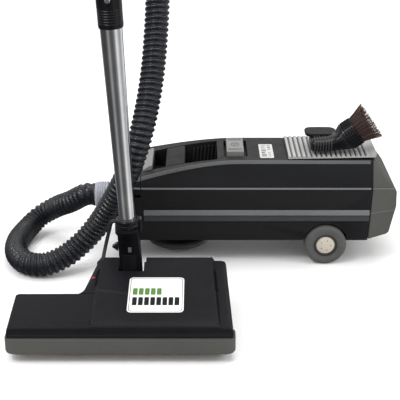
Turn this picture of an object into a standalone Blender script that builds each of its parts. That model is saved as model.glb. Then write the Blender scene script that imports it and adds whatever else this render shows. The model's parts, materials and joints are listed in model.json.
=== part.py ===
"""Canister vacuum cleaner with its power nozzle, two-section wand, hose and dusting brush.

Frame: metres, +Z up, origin on the floor under the middle of the machine. +X runs along the
canister towards its rear bumper and -Y towards the power nozzle's front edge. The nozzle and
the upright wand are parked beside the canister's nose.
"""

import math

import bmesh
import bpy
from mathutils import Matrix, Vector

# Fits
GAP = 0.0003             # between touching pieces
WALL = 0.003             # moulded shells
PLASTIC_STEPS = 32       # sides of a large turned piece
SMALL_STEPS = 20         # sides of a small turned piece

# Canister
CAN_Y = 0.165            # centre plane
CAN_HALF = 0.085         # half width over the side panels
NOSE_X = -0.1875
NOSE_ROUND_X = -0.1325   # the plan starts to narrow here
NOSE_NARROW = 0.030      # half width lost at the nose tip
BELLY_Z = 0.034
FOOT_Z = 0.047           # lower edge of the side panels
BELLY_IN = 0.026         # belly edge, inboard of the side panels
SHOULDER_Z = 0.146       # side panels lean in above this
DECK_Z = 0.190
DECK_FLAT_X = 0.030      # the deck falls forward of this
DECK_DROP = 0.040        # fall at the nose tip
DECK_CURVE = 1.6
LEAN_RATIO = 0.568       # inward run of the shoulder per metre of rise
SEAM_FOOT_X = 0.2684     # rear seam at SEAM_FOOT_Z
SEAM_FOOT_Z = 0.040
SEAM_SLOPE = 0.031
DOOR_REAR_X = -0.1372    # bag door ends, deck starts
DOOR_FOOT_Z = 0.1335
NOSE_RIM_Z = 0.1297      # tub rim under the bag door
DOOR_WALL = 0.0025
INLET_Z = 0.100          # hose inlet axis

# Canister running gear
WHEEL_X = 0.1935
WHEEL_R = 0.0375
TYRE_WIDTH = 0.028
WHEEL_OUT = 0.090        # outer face of a wheel, from the centre plane
HUB_R = 0.0212
ARCH_R = 0.041
ARCH_DEPTH = 0.035
AXLE_R = 0.004
TURN_X = -0.0725
TURN_R = 0.0575
ROLLER_R = 0.0125
ROLLER_TRAIL = 0.020
ROLLER_SIDE = 0.022

# Deck details
PIT_FRONT_X, PIT_REAR_X, PIT_HALF, PIT_FLOOR_Z = -0.1165, -0.0015, 0.048, 0.138
BAR_FRONT_X, BAR_REAR_X, BAR_THICK = -0.0945, -0.0595, 0.014
LATCH_FRONT_X, LATCH_REAR_X, LATCH_HALF = -0.1355, -0.1178, 0.046
LATCH_FLOOR_Z = 0.1565
PEDAL_X = (0.0155, 0.0465)
PEDAL_Y = (0.134, 0.206)
COVER_FRONT_X, COVER_REAR_X, COVER_HALF = 0.1235, 0.2790, 0.055
COVER_RISE = 0.022       # slope of the ribbed cover towards the rear
COVER_RIBS = 18
FILTER_X = (0.130, 0.262)
FILTER_HALF = 0.044

# Power nozzle
NOZ_FRONT_Y = -0.250     # cover's front edge
NOZ_ARM_Y = -0.160       # rear edge of the left arm
NOZ_REAR_Y = -0.060
NOZ_LEFT_X = -0.3235
NOZ_SPLIT_Z = 0.042
RIDGE_LEFT_X = -0.1985
PANEL_FRONT_Z, PANEL_SLOPE = 0.0625, 0.1216
SHOULDER_FRONT_Z, SHOULDER_SLOPE = 0.0600, 0.100
BUMPER_X = (-0.3275, 0.0215)
BUMPER_Y = -0.255
BUMPER_Z = (0.015, 0.0417)
BASE_Z = (0.0107, 0.0417)
ROLL_Y, ROLL_Z, ROLL_CORE_R, ROLL_TUFT_R = -0.2175, 0.0245, 0.0135, 0.0205
ROLL_X = (-0.3080, -0.0095)
PULLEY_X = (-0.0092, 0.0018)
MOTOR_Y, MOTOR_Z, MOTOR_R = -0.115, 0.046, 0.024
NOTCH_X = (-0.164, -0.121)
NOTCH_FRONT_Y = -0.1045
NOTCH_STEP_Y, NOTCH_SIDE_X = -0.078, -0.1238   # the gap narrows to this side forward of the step
NOZ_WHEEL_R = 0.0155
NOZ_WHEEL_Y = -0.080
NOZ_WHEELS_X = (-0.190, -0.007)

# Wand
PIVOT = Vector((-0.1425, -0.085, 0.030))
LEAN = math.radians(2.8)  # wand leans towards -X
NECK_HALF = 0.018
NECK_TOP = 0.120          # distances from here on are along the wand from the pivot
COLLAR_TOP = 0.1355
WAND_FOOT, WAND_FOOT_R = 0.092, 0.0130
WAND_TOP, WAND_TOP_R = 0.470, 0.0172
COUPLER = (0.445, 0.505)
COUPLER_R = 0.0192
UPPER_R = 0.0163
UPPER_TOP = 0.845
GRIP_FOOT = 0.800
BEND_FOOT = 0.870         # the grip starts to curve back here
BEND_R = 0.085
BEND_ANGLE = math.radians(105)
GRIP_TAIL = 0.020
CUFF_LENGTH = 0.045

# Hose and pigtail
HOSE_R = 0.0205
PIGTAIL_R = 0.0032
HOSE_ROUTE = [
    (-0.2266, 0.1650, 0.1000), (-0.2450, 0.1650, 0.1000), (-0.2760, 0.1820, 0.0780),
    (-0.3050, 0.2050, 0.0580), (-0.3380, 0.2060, 0.0380), (-0.3610, 0.1780, 0.0225),
    (-0.3700, 0.1300, 0.0212), (-0.3640, 0.0800, 0.0212), (-0.3420, 0.0420, 0.0212),
    (-0.3080, 0.0300, 0.0230), (-0.2730, 0.0400, 0.0330), (-0.2420, 0.0560, 0.0530),
    (-0.2130, 0.0640, 0.0850), (-0.1875, 0.0540, 0.1280), (-0.1640, 0.0380, 0.1760),
    (-0.1450, 0.0330, 0.2220), (-0.1305, 0.0450, 0.2660), (-0.1195, 0.0730, 0.3120),
    (-0.1120, 0.1030, 0.3600), (-0.1078, 0.1310, 0.4080), (-0.1052, 0.1570, 0.4600),
    (-0.1060, 0.1860, 0.5300), (-0.1100, 0.2080, 0.6000), (-0.1190, 0.2220, 0.6700),
    (-0.1320, 0.2290, 0.7400), (-0.1460, 0.2270, 0.8050), (-0.1620, 0.2140, 0.8650),
    (-0.1750, 0.1880, 0.9130), (-0.1840, 0.1500, 0.9410), (-0.1878, 0.1150, 0.9560),
    (-0.1882, 0.0854, 0.9639),
]
PIGTAIL_ROUTE = [
    (-0.1955, -0.0392, 0.0680), (-0.1955, -0.0300, 0.0690), (-0.1945, -0.0200, 0.0740),
    (-0.1920, -0.0140, 0.0850), (-0.1885, -0.0130, 0.0990), (-0.1850, -0.0170, 0.1130),
    (-0.1820, -0.0260, 0.1260), (-0.1790, -0.0380, 0.1360), (-0.1745, -0.0500, 0.1430),
    (-0.1680, -0.0585, 0.1470), (-0.1611, -0.0585, 0.1470),
]

# Dusting brush
BRUSH_Y = 0.137
BRUSH_Z = 0.2005          # its underside
BRUSH_TILT = math.radians(36)
HEAD_BASE = Vector((0.2270, BRUSH_Y, 0.2225))
HEAD_R, HEAD_LENGTH = 0.0255, 0.024
TUFT_R, TUFT_LENGTH = 0.0350, 0.034

LOOKS = {
    "black plastic": ((0.022, 0.023, 0.026), 0.42, 0.0),
    "soft black plastic": ((0.030, 0.031, 0.035), 0.55, 0.0),
    "grey plastic": ((0.085, 0.087, 0.090), 0.48, 0.0),
    "light grey plastic": ((0.36, 0.36, 0.35), 0.45, 0.0),
    "silver plastic": ((0.48, 0.48, 0.47), 0.38, 0.2),
    "bumper grey": ((0.105, 0.104, 0.100), 0.60, 0.0),
    "chrome": ((0.80, 0.80, 0.82), 0.08, 1.0),
    "steel": ((0.55, 0.55, 0.56), 0.30, 1.0),
    "rubber": ((0.020, 0.020, 0.021), 0.75, 0.0),
    "tyre rubber": ((0.135, 0.137, 0.136), 0.70, 0.0),
    "hub silver": ((0.52, 0.50, 0.46), 0.35, 0.4),
    "white card": ((0.80, 0.80, 0.78), 0.50, 0.0),
    "red plastic": ((0.60, 0.08, 0.07), 0.40, 0.0),
    "paper": ((0.52, 0.44, 0.33), 0.85, 0.0),
    "foam": ((0.10, 0.11, 0.12), 0.95, 0.0),
    "wood": ((0.40, 0.24, 0.12), 0.60, 0.0),
    "horsehair": ((0.12, 0.070, 0.055), 0.80, 0.0),
    "hose black": ((0.025, 0.027, 0.032), 0.50, 0.0),
}


# ---------------------------------------------------------------- mesh helpers

def clear_scene():
    """Start from an empty scene."""
    for obj in list(bpy.data.objects):
        bpy.data.objects.remove(obj, do_unlink=True)


def material_for(name, look):
    """A Principled material of its own for one sub-part."""
    colour, roughness, metallic = LOOKS[look]
    made = bpy.data.materials.new(name + "_material")
    made.use_nodes = True
    shader = made.node_tree.nodes["Principled BSDF"]
    shader.inputs["Base Color"].default_value = (*colour, 1.0)
    shader.inputs["Roughness"].default_value = roughness
    shader.inputs["Metallic"].default_value = metallic
    made.diffuse_color = (*colour, 1.0)
    return made


def shade(mesh):
    """Smooth shading that keeps edges sharper than 35 degrees."""
    mesh.shade_smooth()
    mesh.set_sharp_from_angle(angle=math.radians(35))


def add_object(name, solid, look, origin=(0, 0, 0), parent=None):
    """Turn a closed bmesh, given in its parent's frame, into an object whose origin is at origin."""
    bmesh.ops.recalc_face_normals(solid, faces=solid.faces)
    bmesh.ops.translate(solid, verts=solid.verts, vec=-Vector(origin))
    mesh = bpy.data.meshes.new(name)
    solid.to_mesh(mesh)
    solid.free()
    obj = bpy.data.objects.new(name, mesh)
    bpy.context.scene.collection.objects.link(obj)
    obj.location = origin
    obj.parent = parent
    mesh.materials.append(material_for(name, look))
    shade(mesh)
    return obj


def bake(obj):
    """Replace an object's mesh with what its modifiers make of it."""
    bpy.context.view_layer.update()
    result = bpy.data.meshes.new_from_object(obj.evaluated_get(bpy.context.evaluated_depsgraph_get()))
    obj.modifiers.clear()
    obj.data = result
    shade(result)


def combine(obj, solid, operation):
    """Boolean one closed bmesh, in world coordinates, into an unparented object."""
    bmesh.ops.recalc_face_normals(solid, faces=solid.faces)
    mesh = bpy.data.meshes.new("tool")
    solid.to_mesh(mesh)
    solid.free()
    tool = bpy.data.objects.new("tool", mesh)
    bpy.context.scene.collection.objects.link(tool)
    boolean = obj.modifiers.new("boolean", "BOOLEAN")
    boolean.operation = operation
    boolean.solver = "EXACT"
    boolean.object = tool
    bake(obj)
    bpy.data.objects.remove(tool, do_unlink=True)


def cut(obj, *solids):
    """Remove each solid from the object."""
    for solid in solids:
        combine(obj, solid, "DIFFERENCE")


def fuse(obj, *solids):
    """Add each solid to the object."""
    for solid in solids:
        combine(obj, solid, "UNION")


def soften(obj, width, segments=2, angle=40):
    """Round the object's sharp edges."""
    bevel = obj.modifiers.new("rounding", "BEVEL")
    bevel.width = width
    bevel.segments = segments
    bevel.limit_method = "ANGLE"
    bevel.angle_limit = math.radians(angle)
    bake(obj)


def loft(rings):
    """A closed solid through rings of equally many points, flat at both ends."""
    solid = bmesh.new()
    rows = [[solid.verts.new(point) for point in ring] for ring in rings]
    count = len(rows[0])
    for row, following in zip(rows, rows[1:]):
        for i in range(count):
            j = (i + 1) % count
            solid.faces.new((row[i], row[j], following[j], following[i]))
    solid.faces.new(rows[0])
    solid.faces.new(rows[-1])
    return solid


def prism(outline, axis, low, high):
    """A flat outline pushed along X, Y or Z. Its points are the other two coordinates in order."""
    def at(point, level):
        coordinates = list(point)
        coordinates.insert("XYZ".index(axis), level)
        return coordinates
    return loft([[at(p, low) for p in outline], [at(p, high) for p in outline]])


def block(low, high):
    """A box between two corners."""
    outline = [(low[0], low[1]), (high[0], low[1]), (high[0], high[1]), (low[0], high[1])]
    return prism(outline, "Z", low[2], high[2])


def turned(profile, centre, axis, steps=SMALL_STEPS):
    """Revolve (radius, height) points about an axis. A profile that starts and ends at radius 0
    is solid, any other is a closed ring section."""
    solid = bmesh.new()
    frame = Vector(axis).to_track_quat("Z", "Y").to_matrix()
    centre = Vector(centre)
    rows = []
    for radius, height in profile:
        if radius == 0:
            rows.append([solid.verts.new(centre + frame @ Vector((0, 0, height)))])
            continue
        angles = [2 * math.pi * i / steps for i in range(steps)]
        rows.append([
            solid.verts.new(centre + frame @ Vector((radius * math.cos(a), radius * math.sin(a), height)))
            for a in angles
        ])
    pairs = list(zip(rows, rows[1:]))
    if profile[0][0] != 0:
        pairs.append((rows[-1], rows[0]))
    for row, following in pairs:
        for i in range(steps):
            j = (i + 1) % steps
            corners = [row[i % len(row)], row[j % len(row)], following[j % len(following)],
                       following[i % len(following)]]
            unique = [v for k, v in enumerate(corners) if v not in corners[:k]]
            if len(unique) > 2:
                solid.faces.new(unique)
    return solid


def rod(start, end, radius, steps=SMALL_STEPS):
    """A plain round bar between two points."""
    start, end = Vector(start), Vector(end)
    length = (end - start).length
    return turned([(0, 0), (radius, 0), (radius, length), (0, length)], start, end - start, steps)


def tube(start, end, outer, inner, steps=SMALL_STEPS):
    """A straight tube between two points."""
    start, end = Vector(start), Vector(end)
    length = (end - start).length
    profile = [(inner, 0), (outer, 0), (outer, length), (inner, length)]
    return turned(profile, start, end - start, steps)


def sweep(points, radii, steps=SMALL_STEPS):
    """A round section carried along a path that stays in one plane with X as its normal."""
    rings = []
    for i, point in enumerate(points):
        before, after = points[max(i - 1, 0)], points[min(i + 1, len(points) - 1)]
        along = (Vector(after) - Vector(before)).normalized()
        side = Vector((1, 0, 0))
        up = along.cross(side)
        rings.append([
            Vector(point) + radii[i] * (math.cos(a) * side + math.sin(a) * up)
            for a in [2 * math.pi * k / steps for k in range(steps)]
        ])
    return loft(rings)


def smooth_route(points, spacing):
    """Points along a Catmull-Rom curve through the route, about one spacing apart."""
    points = [Vector(p) for p in points]
    ends = [2 * points[0] - points[1]] + points + [2 * points[-1] - points[-2]]
    found = []
    for a, b, c, d in zip(ends, ends[1:], ends[2:], ends[3:]):
        pieces = max(1, round((c - b).length / spacing))
        for k in range(pieces):
            t = k / pieces
            found.append(0.5 * (2 * b + (c - a) * t + (2 * a - 5 * b + 4 * c - d) * t * t
                                + (3 * b - a - 3 * c + d) * t ** 3))
    return found + [points[-1]]


def cord(name, route, radius, spacing, resolution, look):
    """A flexible cord or hose as a bevelled curve with filled caps."""
    points = smooth_route(route, spacing)
    curve = bpy.data.curves.new(name, "CURVE")
    curve.dimensions = "3D"
    curve.bevel_depth = radius
    curve.bevel_resolution = resolution
    curve.use_fill_caps = True
    spline = curve.splines.new("POLY")
    spline.points.add(len(points) - 1)
    for target, point in zip(spline.points, points):
        target.co = (*point, 1.0)
    obj = bpy.data.objects.new(name, curve)
    bpy.context.scene.collection.objects.link(obj)
    curve.materials.append(material_for(name, look))
    return obj


def mirrored_y(offset):
    """The world Y of the same offset on the near and far side of the canister."""
    return {"near": CAN_Y - offset, "far": CAN_Y + offset}


# ---------------------------------------------------------------- canister form

def half_width(x):
    """Half width of the canister, which narrows as a quarter ellipse at the nose."""
    share = max(0.0, (NOSE_ROUND_X - x) / (NOSE_ROUND_X - NOSE_X))
    return CAN_HALF - NOSE_NARROW * (1 - math.sqrt(max(0.0, 1 - share * share)))


def deck_height(x):
    """Height of the deck, flat at the rear and falling in a curve to the nose."""
    share = max(0.0, (DECK_FLAT_X - x) / (DECK_FLAT_X - NOSE_X))
    return DECK_Z - DECK_DROP * share ** DECK_CURVE


def seam_x(z):
    """The leaning seam between the tub and the rear bumper."""
    return SEAM_FOOT_X + (z - SEAM_FOOT_Z) * SEAM_SLOPE


def lean_in(z):
    """How far the shoulder has come inwards at a height."""
    return max(0.0, z - SHOULDER_Z) * LEAN_RATIO


def tub_ring(x, inset, top, rear=False):
    """Section of the tub: belly, foot, shoulder and rim, the same on both sides."""
    half = half_width(x) - inset
    side = [(half - BELLY_IN, BELLY_Z + inset), (half, FOOT_Z), (half, SHOULDER_Z),
            (half - lean_in(top), top)]
    points = [(-y, z) for y, z in side] + list(reversed(side))
    return [(seam_x(z) + x - seam_x(FOOT_Z) if rear else x, CAN_Y + y, z) for y, z in points]


NOSE_STATIONS = [NOSE_X, -0.184, -0.177, -0.166, -0.150, DOOR_REAR_X]
TUB_STATIONS = NOSE_STATIONS + [-0.115, -0.09, -0.06, -0.03, 0.0, DECK_FLAT_X]
TUB_RIM = WALL + GAP     # the tub's rim lies this far under the deck


def arch(side, radius, depth):
    """A round wheel arch cut in from one side."""
    sign = -1 if side == "near" else 1
    outside = CAN_Y + sign * (CAN_HALF + 0.02)
    inside = CAN_Y + sign * (CAN_HALF - depth)
    return rod((WHEEL_X, outside, WHEEL_R), (WHEEL_X, inside, WHEEL_R), radius, PLASTIC_STEPS)


def make_tub():
    """Body shell of the canister, open on top, with arches, axle bore, inlet and turntable holes."""
    rings = [tub_ring(x, 0, deck_height(x) - TUB_RIM) for x in TUB_STATIONS]
    rings.append(tub_ring(seam_x(FOOT_Z), 0, DECK_Z - TUB_RIM, rear=True))
    tub = add_object("canister_tub", loft(rings), "black plastic")

    inner = [tub_ring(x, WALL, deck_height(x) + 0.004) for x in TUB_STATIONS[1:]]
    inner.append(tub_ring(seam_x(FOOT_Z) - WALL, WALL, DECK_Z + 0.004, rear=True))
    cavity = add_object("cavity", loft(inner), "black plastic")
    for side in ("near", "far"):
        cut(cavity, arch(side, ARCH_R + WALL, ARCH_DEPTH + WALL))
    hollow = bmesh.new()
    hollow.from_mesh(cavity.data)
    bpy.data.objects.remove(cavity, do_unlink=True)

    cut(tub, hollow, arch("near", ARCH_R, ARCH_DEPTH), arch("far", ARCH_R, ARCH_DEPTH))
    cut(tub, block((NOSE_X - 0.01, 0, NOSE_RIM_Z), (DOOR_REAR_X, 0.4, 0.25)))
    cut(tub, rod((NOSE_X - 0.01, CAN_Y, INLET_Z), (NOSE_X + 0.02, CAN_Y, INLET_Z), 0.0263, PLASTIC_STEPS))
    cut(tub, rod((WHEEL_X, 0.05, WHEEL_R), (WHEEL_X, 0.28, WHEEL_R), AXLE_R + GAP))
    cut(tub, rod((TURN_X, CAN_Y, 0.0), (TURN_X, CAN_Y, 0.05), 0.0123, PLASTIC_STEPS))


def deck_outline(front, rear, offset, count):
    """(x, z) points along the deck line, shifted up by offset."""
    xs = [front + (rear - front) * i / (count - 1) for i in range(count)]
    return [(x, deck_height(x) + offset) for x in xs]


def make_deck():
    """Top panel with the carrying-handle pit, latch pocket, pedal well and filter tray."""
    rings = []
    for x in [DOOR_REAR_X + GAP, -0.115, -0.09, -0.06, -0.03, 0.0, DECK_FLAT_X, seam_x(DECK_Z) - GAP]:
        top = deck_height(x)
        half_top = half_width(x) - lean_in(top)
        half_foot = half_width(x) - lean_in(top - WALL)
        section = [(-half_foot, top - WALL), (-half_top, top), (half_top, top), (half_foot, top - WALL)]
        rings.append([(x, CAN_Y + y, z) for y, z in section])
    deck = add_object("canister_deck", loft(rings), "grey plastic")

    pit_wall = 0.0025
    under = deck_outline(LATCH_FRONT_X - 0.001, PIT_REAR_X + pit_wall, -0.0015, 9)
    step_x = LATCH_REAR_X - 0.001
    outline = under + [(PIT_REAR_X + pit_wall, PIT_FLOOR_Z - pit_wall), (step_x, PIT_FLOOR_Z - pit_wall),
                       (step_x, LATCH_FLOOR_Z - pit_wall), (LATCH_FRONT_X - 0.001, LATCH_FLOOR_Z - pit_wall)]
    fuse(deck, prism(outline, "Y",
                     CAN_Y - PIT_HALF - pit_wall, CAN_Y + PIT_HALF + pit_wall))
    fuse(deck, block((PEDAL_X[0] - 0.0065, PEDAL_Y[0] - 0.009, 0.1775),
                     (PEDAL_X[1] + 0.008, PEDAL_Y[1] + 0.006, 0.1885)))
    fuse(deck, block((FILTER_X[0] - pit_wall, CAN_Y - FILTER_HALF - pit_wall, 0.163),
                     (FILTER_X[1] + pit_wall, CAN_Y + FILTER_HALF + pit_wall, 0.1885)))

    cut(deck, block((PIT_FRONT_X, CAN_Y - PIT_HALF, PIT_FLOOR_Z), (PIT_REAR_X, CAN_Y + PIT_HALF, 0.25)))
    cut(deck, block((LATCH_FRONT_X, CAN_Y - LATCH_HALF, LATCH_FLOOR_Z),
                    (LATCH_REAR_X, CAN_Y + LATCH_HALF, 0.25)))
    cut(deck, block((PEDAL_X[0] - 0.0045, PEDAL_Y[0] - 0.007, 0.180),
                    (PEDAL_X[1] + 0.006, PEDAL_Y[1] + 0.004, 0.25)))
    cut(deck, block((FILTER_X[0], CAN_Y - FILTER_HALF, 0.1655), (FILTER_X[1], CAN_Y + FILTER_HALF, 0.25)))
    for offset in (-0.028, 0.0, 0.028):
        cut(deck, block((FILTER_X[0] + 0.01, CAN_Y + offset - 0.006, 0.15),
                        (FILTER_X[1] - 0.01, CAN_Y + offset + 0.006, 0.17)))


def make_carry_handle():
    """Bar across the pit that the hand closes around."""
    top = deck_outline(BAR_FRONT_X, BAR_REAR_X, 0.0, 4)
    foot = [(x, z - BAR_THICK) for x, z in reversed(top)]
    bar = add_object("carry_handle",
                     prism(top + foot, "Y", CAN_Y - PIT_HALF + GAP, CAN_Y + PIT_HALF - GAP), "grey plastic")
    soften(bar, 0.003)


def make_door_and_latch():
    """Bag door over the nose, hinged at the front, and the pad that releases it."""
    def ring(x, inset, foot):
        half = half_width(x) - inset
        top = deck_height(x) - inset
        shoulder = SHOULDER_Z - inset * 0.5
        side = [(half, foot), (half, shoulder), (half - lean_in(top), top)]
        return [(x, CAN_Y - y, z) for y, z in side] + [(x, CAN_Y + y, z) for y, z in reversed(side)]
    door = add_object("bag_door", loft([ring(x, 0, DOOR_FOOT_Z) for x in NOSE_STATIONS]), "black plastic",
                      origin=(NOSE_X + 0.0035, CAN_Y, DOOR_FOOT_Z))
    inner = [NOSE_X + DOOR_WALL] + NOSE_STATIONS[2:-1] + [DOOR_REAR_X + 0.01]
    cutter = loft([ring(x, DOOR_WALL, DOOR_FOOT_Z - 0.01) for x in inner])
    cut(door, cutter)

    pad = [(LATCH_FRONT_X + GAP, 0.1600), (LATCH_REAR_X - GAP, 0.1600),
           (LATCH_REAR_X - GAP, 0.1745), (LATCH_REAR_X - 0.004, 0.1755), (LATCH_FRONT_X + GAP, 0.1665)]
    latch = add_object("door_latch", prism(pad, "Y", CAN_Y - LATCH_HALF + GAP, CAN_Y + LATCH_HALF - GAP),
                       "light grey plastic", origin=(-0.1267, CAN_Y, 0.1600))
    soften(latch, 0.0012)


def make_pedal_and_label():
    """Foot pedal of the power switch and the blank rating plate behind it."""
    pedal = add_object("power_pedal", block((PEDAL_X[0], PEDAL_Y[0], 0.1845), (PEDAL_X[1], PEDAL_Y[1], 0.1970)),
                       "light grey plastic", origin=(0.031, 0.170, 0.1845))
    soften(pedal, 0.0015)
    add_object("rating_plate", block((0.0745, 0.117, DECK_Z + GAP), (0.0995, 0.187, DECK_Z + 0.001)),
               "white card")


def make_exhaust():
    """Ribbed cover over the exhaust filter, hinged at its front edge."""
    length = COVER_REAR_X - COVER_FRONT_X
    pitch = length / COVER_RIBS
    top = []
    for i in range(COVER_RIBS):
        x = COVER_FRONT_X + i * pitch
        for share, lift in ((0.0, 0.0035), (0.15, 0.0058), (0.60, 0.0058), (0.75, 0.0035)):
            top.append((x + share * pitch, DECK_Z + lift + COVER_RISE * (x - COVER_FRONT_X + share * pitch)))
    top.append((COVER_REAR_X, DECK_Z + 0.0035 + COVER_RISE * length))
    foot = [(COVER_REAR_X, DECK_Z + 0.0008 + COVER_RISE * length), (COVER_FRONT_X, DECK_Z + 0.0008)]
    add_object("exhaust_cover", prism(top + foot, "Y", CAN_Y - COVER_HALF, CAN_Y + COVER_HALF),
               "silver plastic", origin=(COVER_FRONT_X, CAN_Y, DECK_Z + 0.0008))
    add_object("exhaust_filter",
               block((FILTER_X[0] + 0.0005, CAN_Y - FILTER_HALF + 0.0005, 0.1658),
                     (FILTER_X[1] - 0.0005, CAN_Y + FILTER_HALF - 0.0005, 0.1780)), "foam")


def make_rear_bumper():
    """Faceted end cap behind the leaning seam, with the cord outlet bush in its rear wall."""
    def ring(y, shoulder, inset):
        reach = -0.010 if inset else GAP
        if shoulder:
            upper = [(seam_x(SHOULDER_Z) + reach, SHOULDER_Z - inset), (0.3105 - inset, SHOULDER_Z - inset)]
        else:
            upper = [(seam_x(DECK_Z) + reach, DECK_Z - inset), (0.2805 - inset, DECK_Z - 0.001 - inset)]
        lower = [(0.3155 - inset, 0.140), (0.3165 - inset, 0.112), (0.3065 - inset, 0.062 + inset),
                 (0.3025 - inset, 0.058 + inset), (seam_x(FOOT_Z) + reach, FOOT_Z + inset)]
        return [(x, CAN_Y + y, z) for x, z in upper + lower]

    def shell(inset):
        half = CAN_HALF - inset
        top_half = CAN_HALF - lean_in(DECK_Z) - inset
        return loft([ring(-half, True, inset), ring(-top_half, False, inset),
                     ring(top_half, False, inset), ring(half, True, inset)])

    bumper = add_object("rear_bumper", shell(0.0), "bumper grey")
    soften(bumper, 0.004)
    cut(bumper, shell(WALL), rod((0.290, CAN_Y, 0.075), (0.340, CAN_Y, 0.075), 0.0093))
    bush = [(0.0045, 0.0), (0.009, 0.0), (0.009, 0.0125), (0.0110, 0.0130), (0.0110, 0.0165), (0.0078, 0.0180),
            (0.0062, 0.0258), (0.0045, 0.0258)]
    add_object("cord_outlet_bush", turned(bush, (0.3017, CAN_Y, 0.075), (1, 0, 0)), "rubber")


def make_side_trims():
    """Two-step moulding along each side panel."""
    for side, sign in (("near", -1), ("far", 1)):
        skin = CAN_Y + sign * (CAN_HALF + GAP)
        section = [(skin, 0.0845), (skin + sign * 0.0012, 0.0845), (skin + sign * 0.0012, 0.0955),
                   (skin + sign * 0.0022, 0.0965), (skin + sign * 0.0022, 0.1055), (skin, 0.1060)]
        add_object("side_trim_" + side, prism(section, "X", NOSE_ROUND_X, 0.2690), "light grey plastic")


def make_hose_inlet():
    """Socket in the nose that the hose end plugs into."""
    section = [(0.0235, 0.0), (0.029, 0.0), (0.029, 0.0057), (0.026, 0.0057), (0.026, 0.0435), (0.0235, 0.0435)]
    add_object("hose_inlet", turned(section, (-0.1935, CAN_Y, INLET_Z), (1, 0, 0), PLASTIC_STEPS), "black plastic")


def make_insides():
    """What the canister holds: dust bag, suction motor and fan, and the cord reel."""
    bag = add_object("dust_bag", block((-0.135, CAN_Y - 0.062, 0.042), (-0.018, CAN_Y + 0.062, 0.128)), "paper")
    soften(bag, 0.018, 3)
    motor = [(0, 0), (0.030, 0), (0.050, 0.012), (0.050, 0.070), (0.036, 0.085), (0.036, 0.100), (0, 0.100)]
    add_object("suction_motor", turned(motor, (0.032, CAN_Y, 0.100), (1, 0, 0), 24), "steel")
    fan = [(0, 0), (0.012, 0.0), (0.048, 0.009), (0.048, 0.020), (0.010, 0.024), (0, 0.024)]
    add_object("suction_fan", turned(fan, (0.004, CAN_Y, 0.100), (1, 0, 0), 24), "steel",
               origin=(0.004, CAN_Y, 0.100))
    reel = [(0.010, 0), (0.044, 0), (0.044, 0.003), (0.022, 0.004), (0.022, 0.038), (0.044, 0.039),
            (0.044, 0.042), (0.010, 0.042)]
    add_object("cord_reel", turned(reel, (0.200, CAN_Y, 0.055), (0, 0, 1), 24), "soft black plastic",
               origin=(0.200, CAN_Y, 0.055))


def make_rear_wheels():
    """Axle through both arches with a tyre and hub at each end."""
    reach = WHEEL_OUT - 0.006
    add_object("rear_axle", rod((WHEEL_X, CAN_Y - reach, WHEEL_R), (WHEEL_X, CAN_Y + reach, WHEEL_R), AXLE_R),
               "steel")
    mid = TYRE_WIDTH / 2
    tyre = [(HUB_R + GAP, -mid), (WHEEL_R - 0.004, -mid), (WHEEL_R, -mid + 0.004), (WHEEL_R, mid - 0.004),
            (WHEEL_R - 0.004, mid), (HUB_R + GAP, mid)]
    bore = AXLE_R + GAP
    hub = [(0, mid - 0.001), (0.010, mid - 0.0015), (0.0175, mid - 0.003), (HUB_R, mid - 0.0045),
           (HUB_R, -mid + 0.0005), (bore, -mid + 0.0005), (bore, mid - 0.0055), (0, mid - 0.0055)]
    for side, y in mirrored_y(WHEEL_OUT - mid).items():
        outwards = (0, -1 if side == "near" else 1, 0)
        centre = (WHEEL_X, y, WHEEL_R)
        add_object("rear_tyre_" + side, turned(tyre, centre, outwards, PLASTIC_STEPS), "tyre rubber", origin=centre)
        add_object("wheel_hub_" + side, turned(hub, centre, outwards, PLASTIC_STEPS), "hub silver", origin=centre)


def make_turntable():
    """Swivelling disc under the nose with two trailing rollers."""
    spigot = 0.012
    disc = [(0, 0.012), (TURN_R - 0.003, 0.012), (TURN_R, 0.0145), (TURN_R, 0.021), (TURN_R - 0.003, 0.024),
            (spigot, 0.0255), (spigot, 0.039), (0, 0.039)]
    table = add_object("caster_turntable", turned(disc, (TURN_X, CAN_Y, 0), (0, 0, 1), PLASTIC_STEPS),
                       "grey plastic")
    roller_x = TURN_X - ROLLER_TRAIL
    half_slot = 0.006
    for offset in (-ROLLER_SIDE, ROLLER_SIDE):
        cut(table, block((roller_x - 0.0145, CAN_Y + offset - half_slot, 0.0),
                         (roller_x + 0.0145, CAN_Y + offset + half_slot, 0.0300)))
    reach = ROLLER_SIDE + half_slot + 0.003
    fuse(table, rod((roller_x, CAN_Y - reach, ROLLER_R), (roller_x, CAN_Y + reach, ROLLER_R), 0.0022, 12))
    roller = [(0.0025, -0.0045), (ROLLER_R - 0.001, -0.0045), (ROLLER_R, -0.0035), (ROLLER_R, 0.0035),
              (ROLLER_R - 0.001, 0.0045), (0.0025, 0.0045)]
    for side, y in mirrored_y(ROLLER_SIDE).items():
        centre = (roller_x, y, ROLLER_R)
        add_object("caster_roller_" + side, turned(roller, centre, (0, 1, 0)), "rubber", origin=centre)


# ---------------------------------------------------------------- power nozzle

def panel_z(y):
    """Height of the raised centre panel."""
    return PANEL_FRONT_Z + (y + 0.245) * PANEL_SLOPE


def shoulder_z(y):
    """Height of the shoulders beside the centre panel and of the left arm."""
    return SHOULDER_FRONT_Z + (y + 0.245) * SHOULDER_SLOPE


def left_edge(y):
    """Left outline of the cover: the arm, a round inside corner, then the housing's flank."""
    if y <= NOZ_ARM_Y + 0.0005:
        return NOZ_LEFT_X
    flank = -0.2195 + (y + 0.158) * 0.184
    corner = max(0.0, (-0.143 - y) / 0.017)
    return flank - 0.014 * (1 - math.sqrt(max(0.0, 1 - min(1.0, corner) ** 2)))


def right_edge(y):
    """Right outline of the cover, which tapers to the rear."""
    return 0.0178 - (y + 0.250) * 0.038


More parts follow.
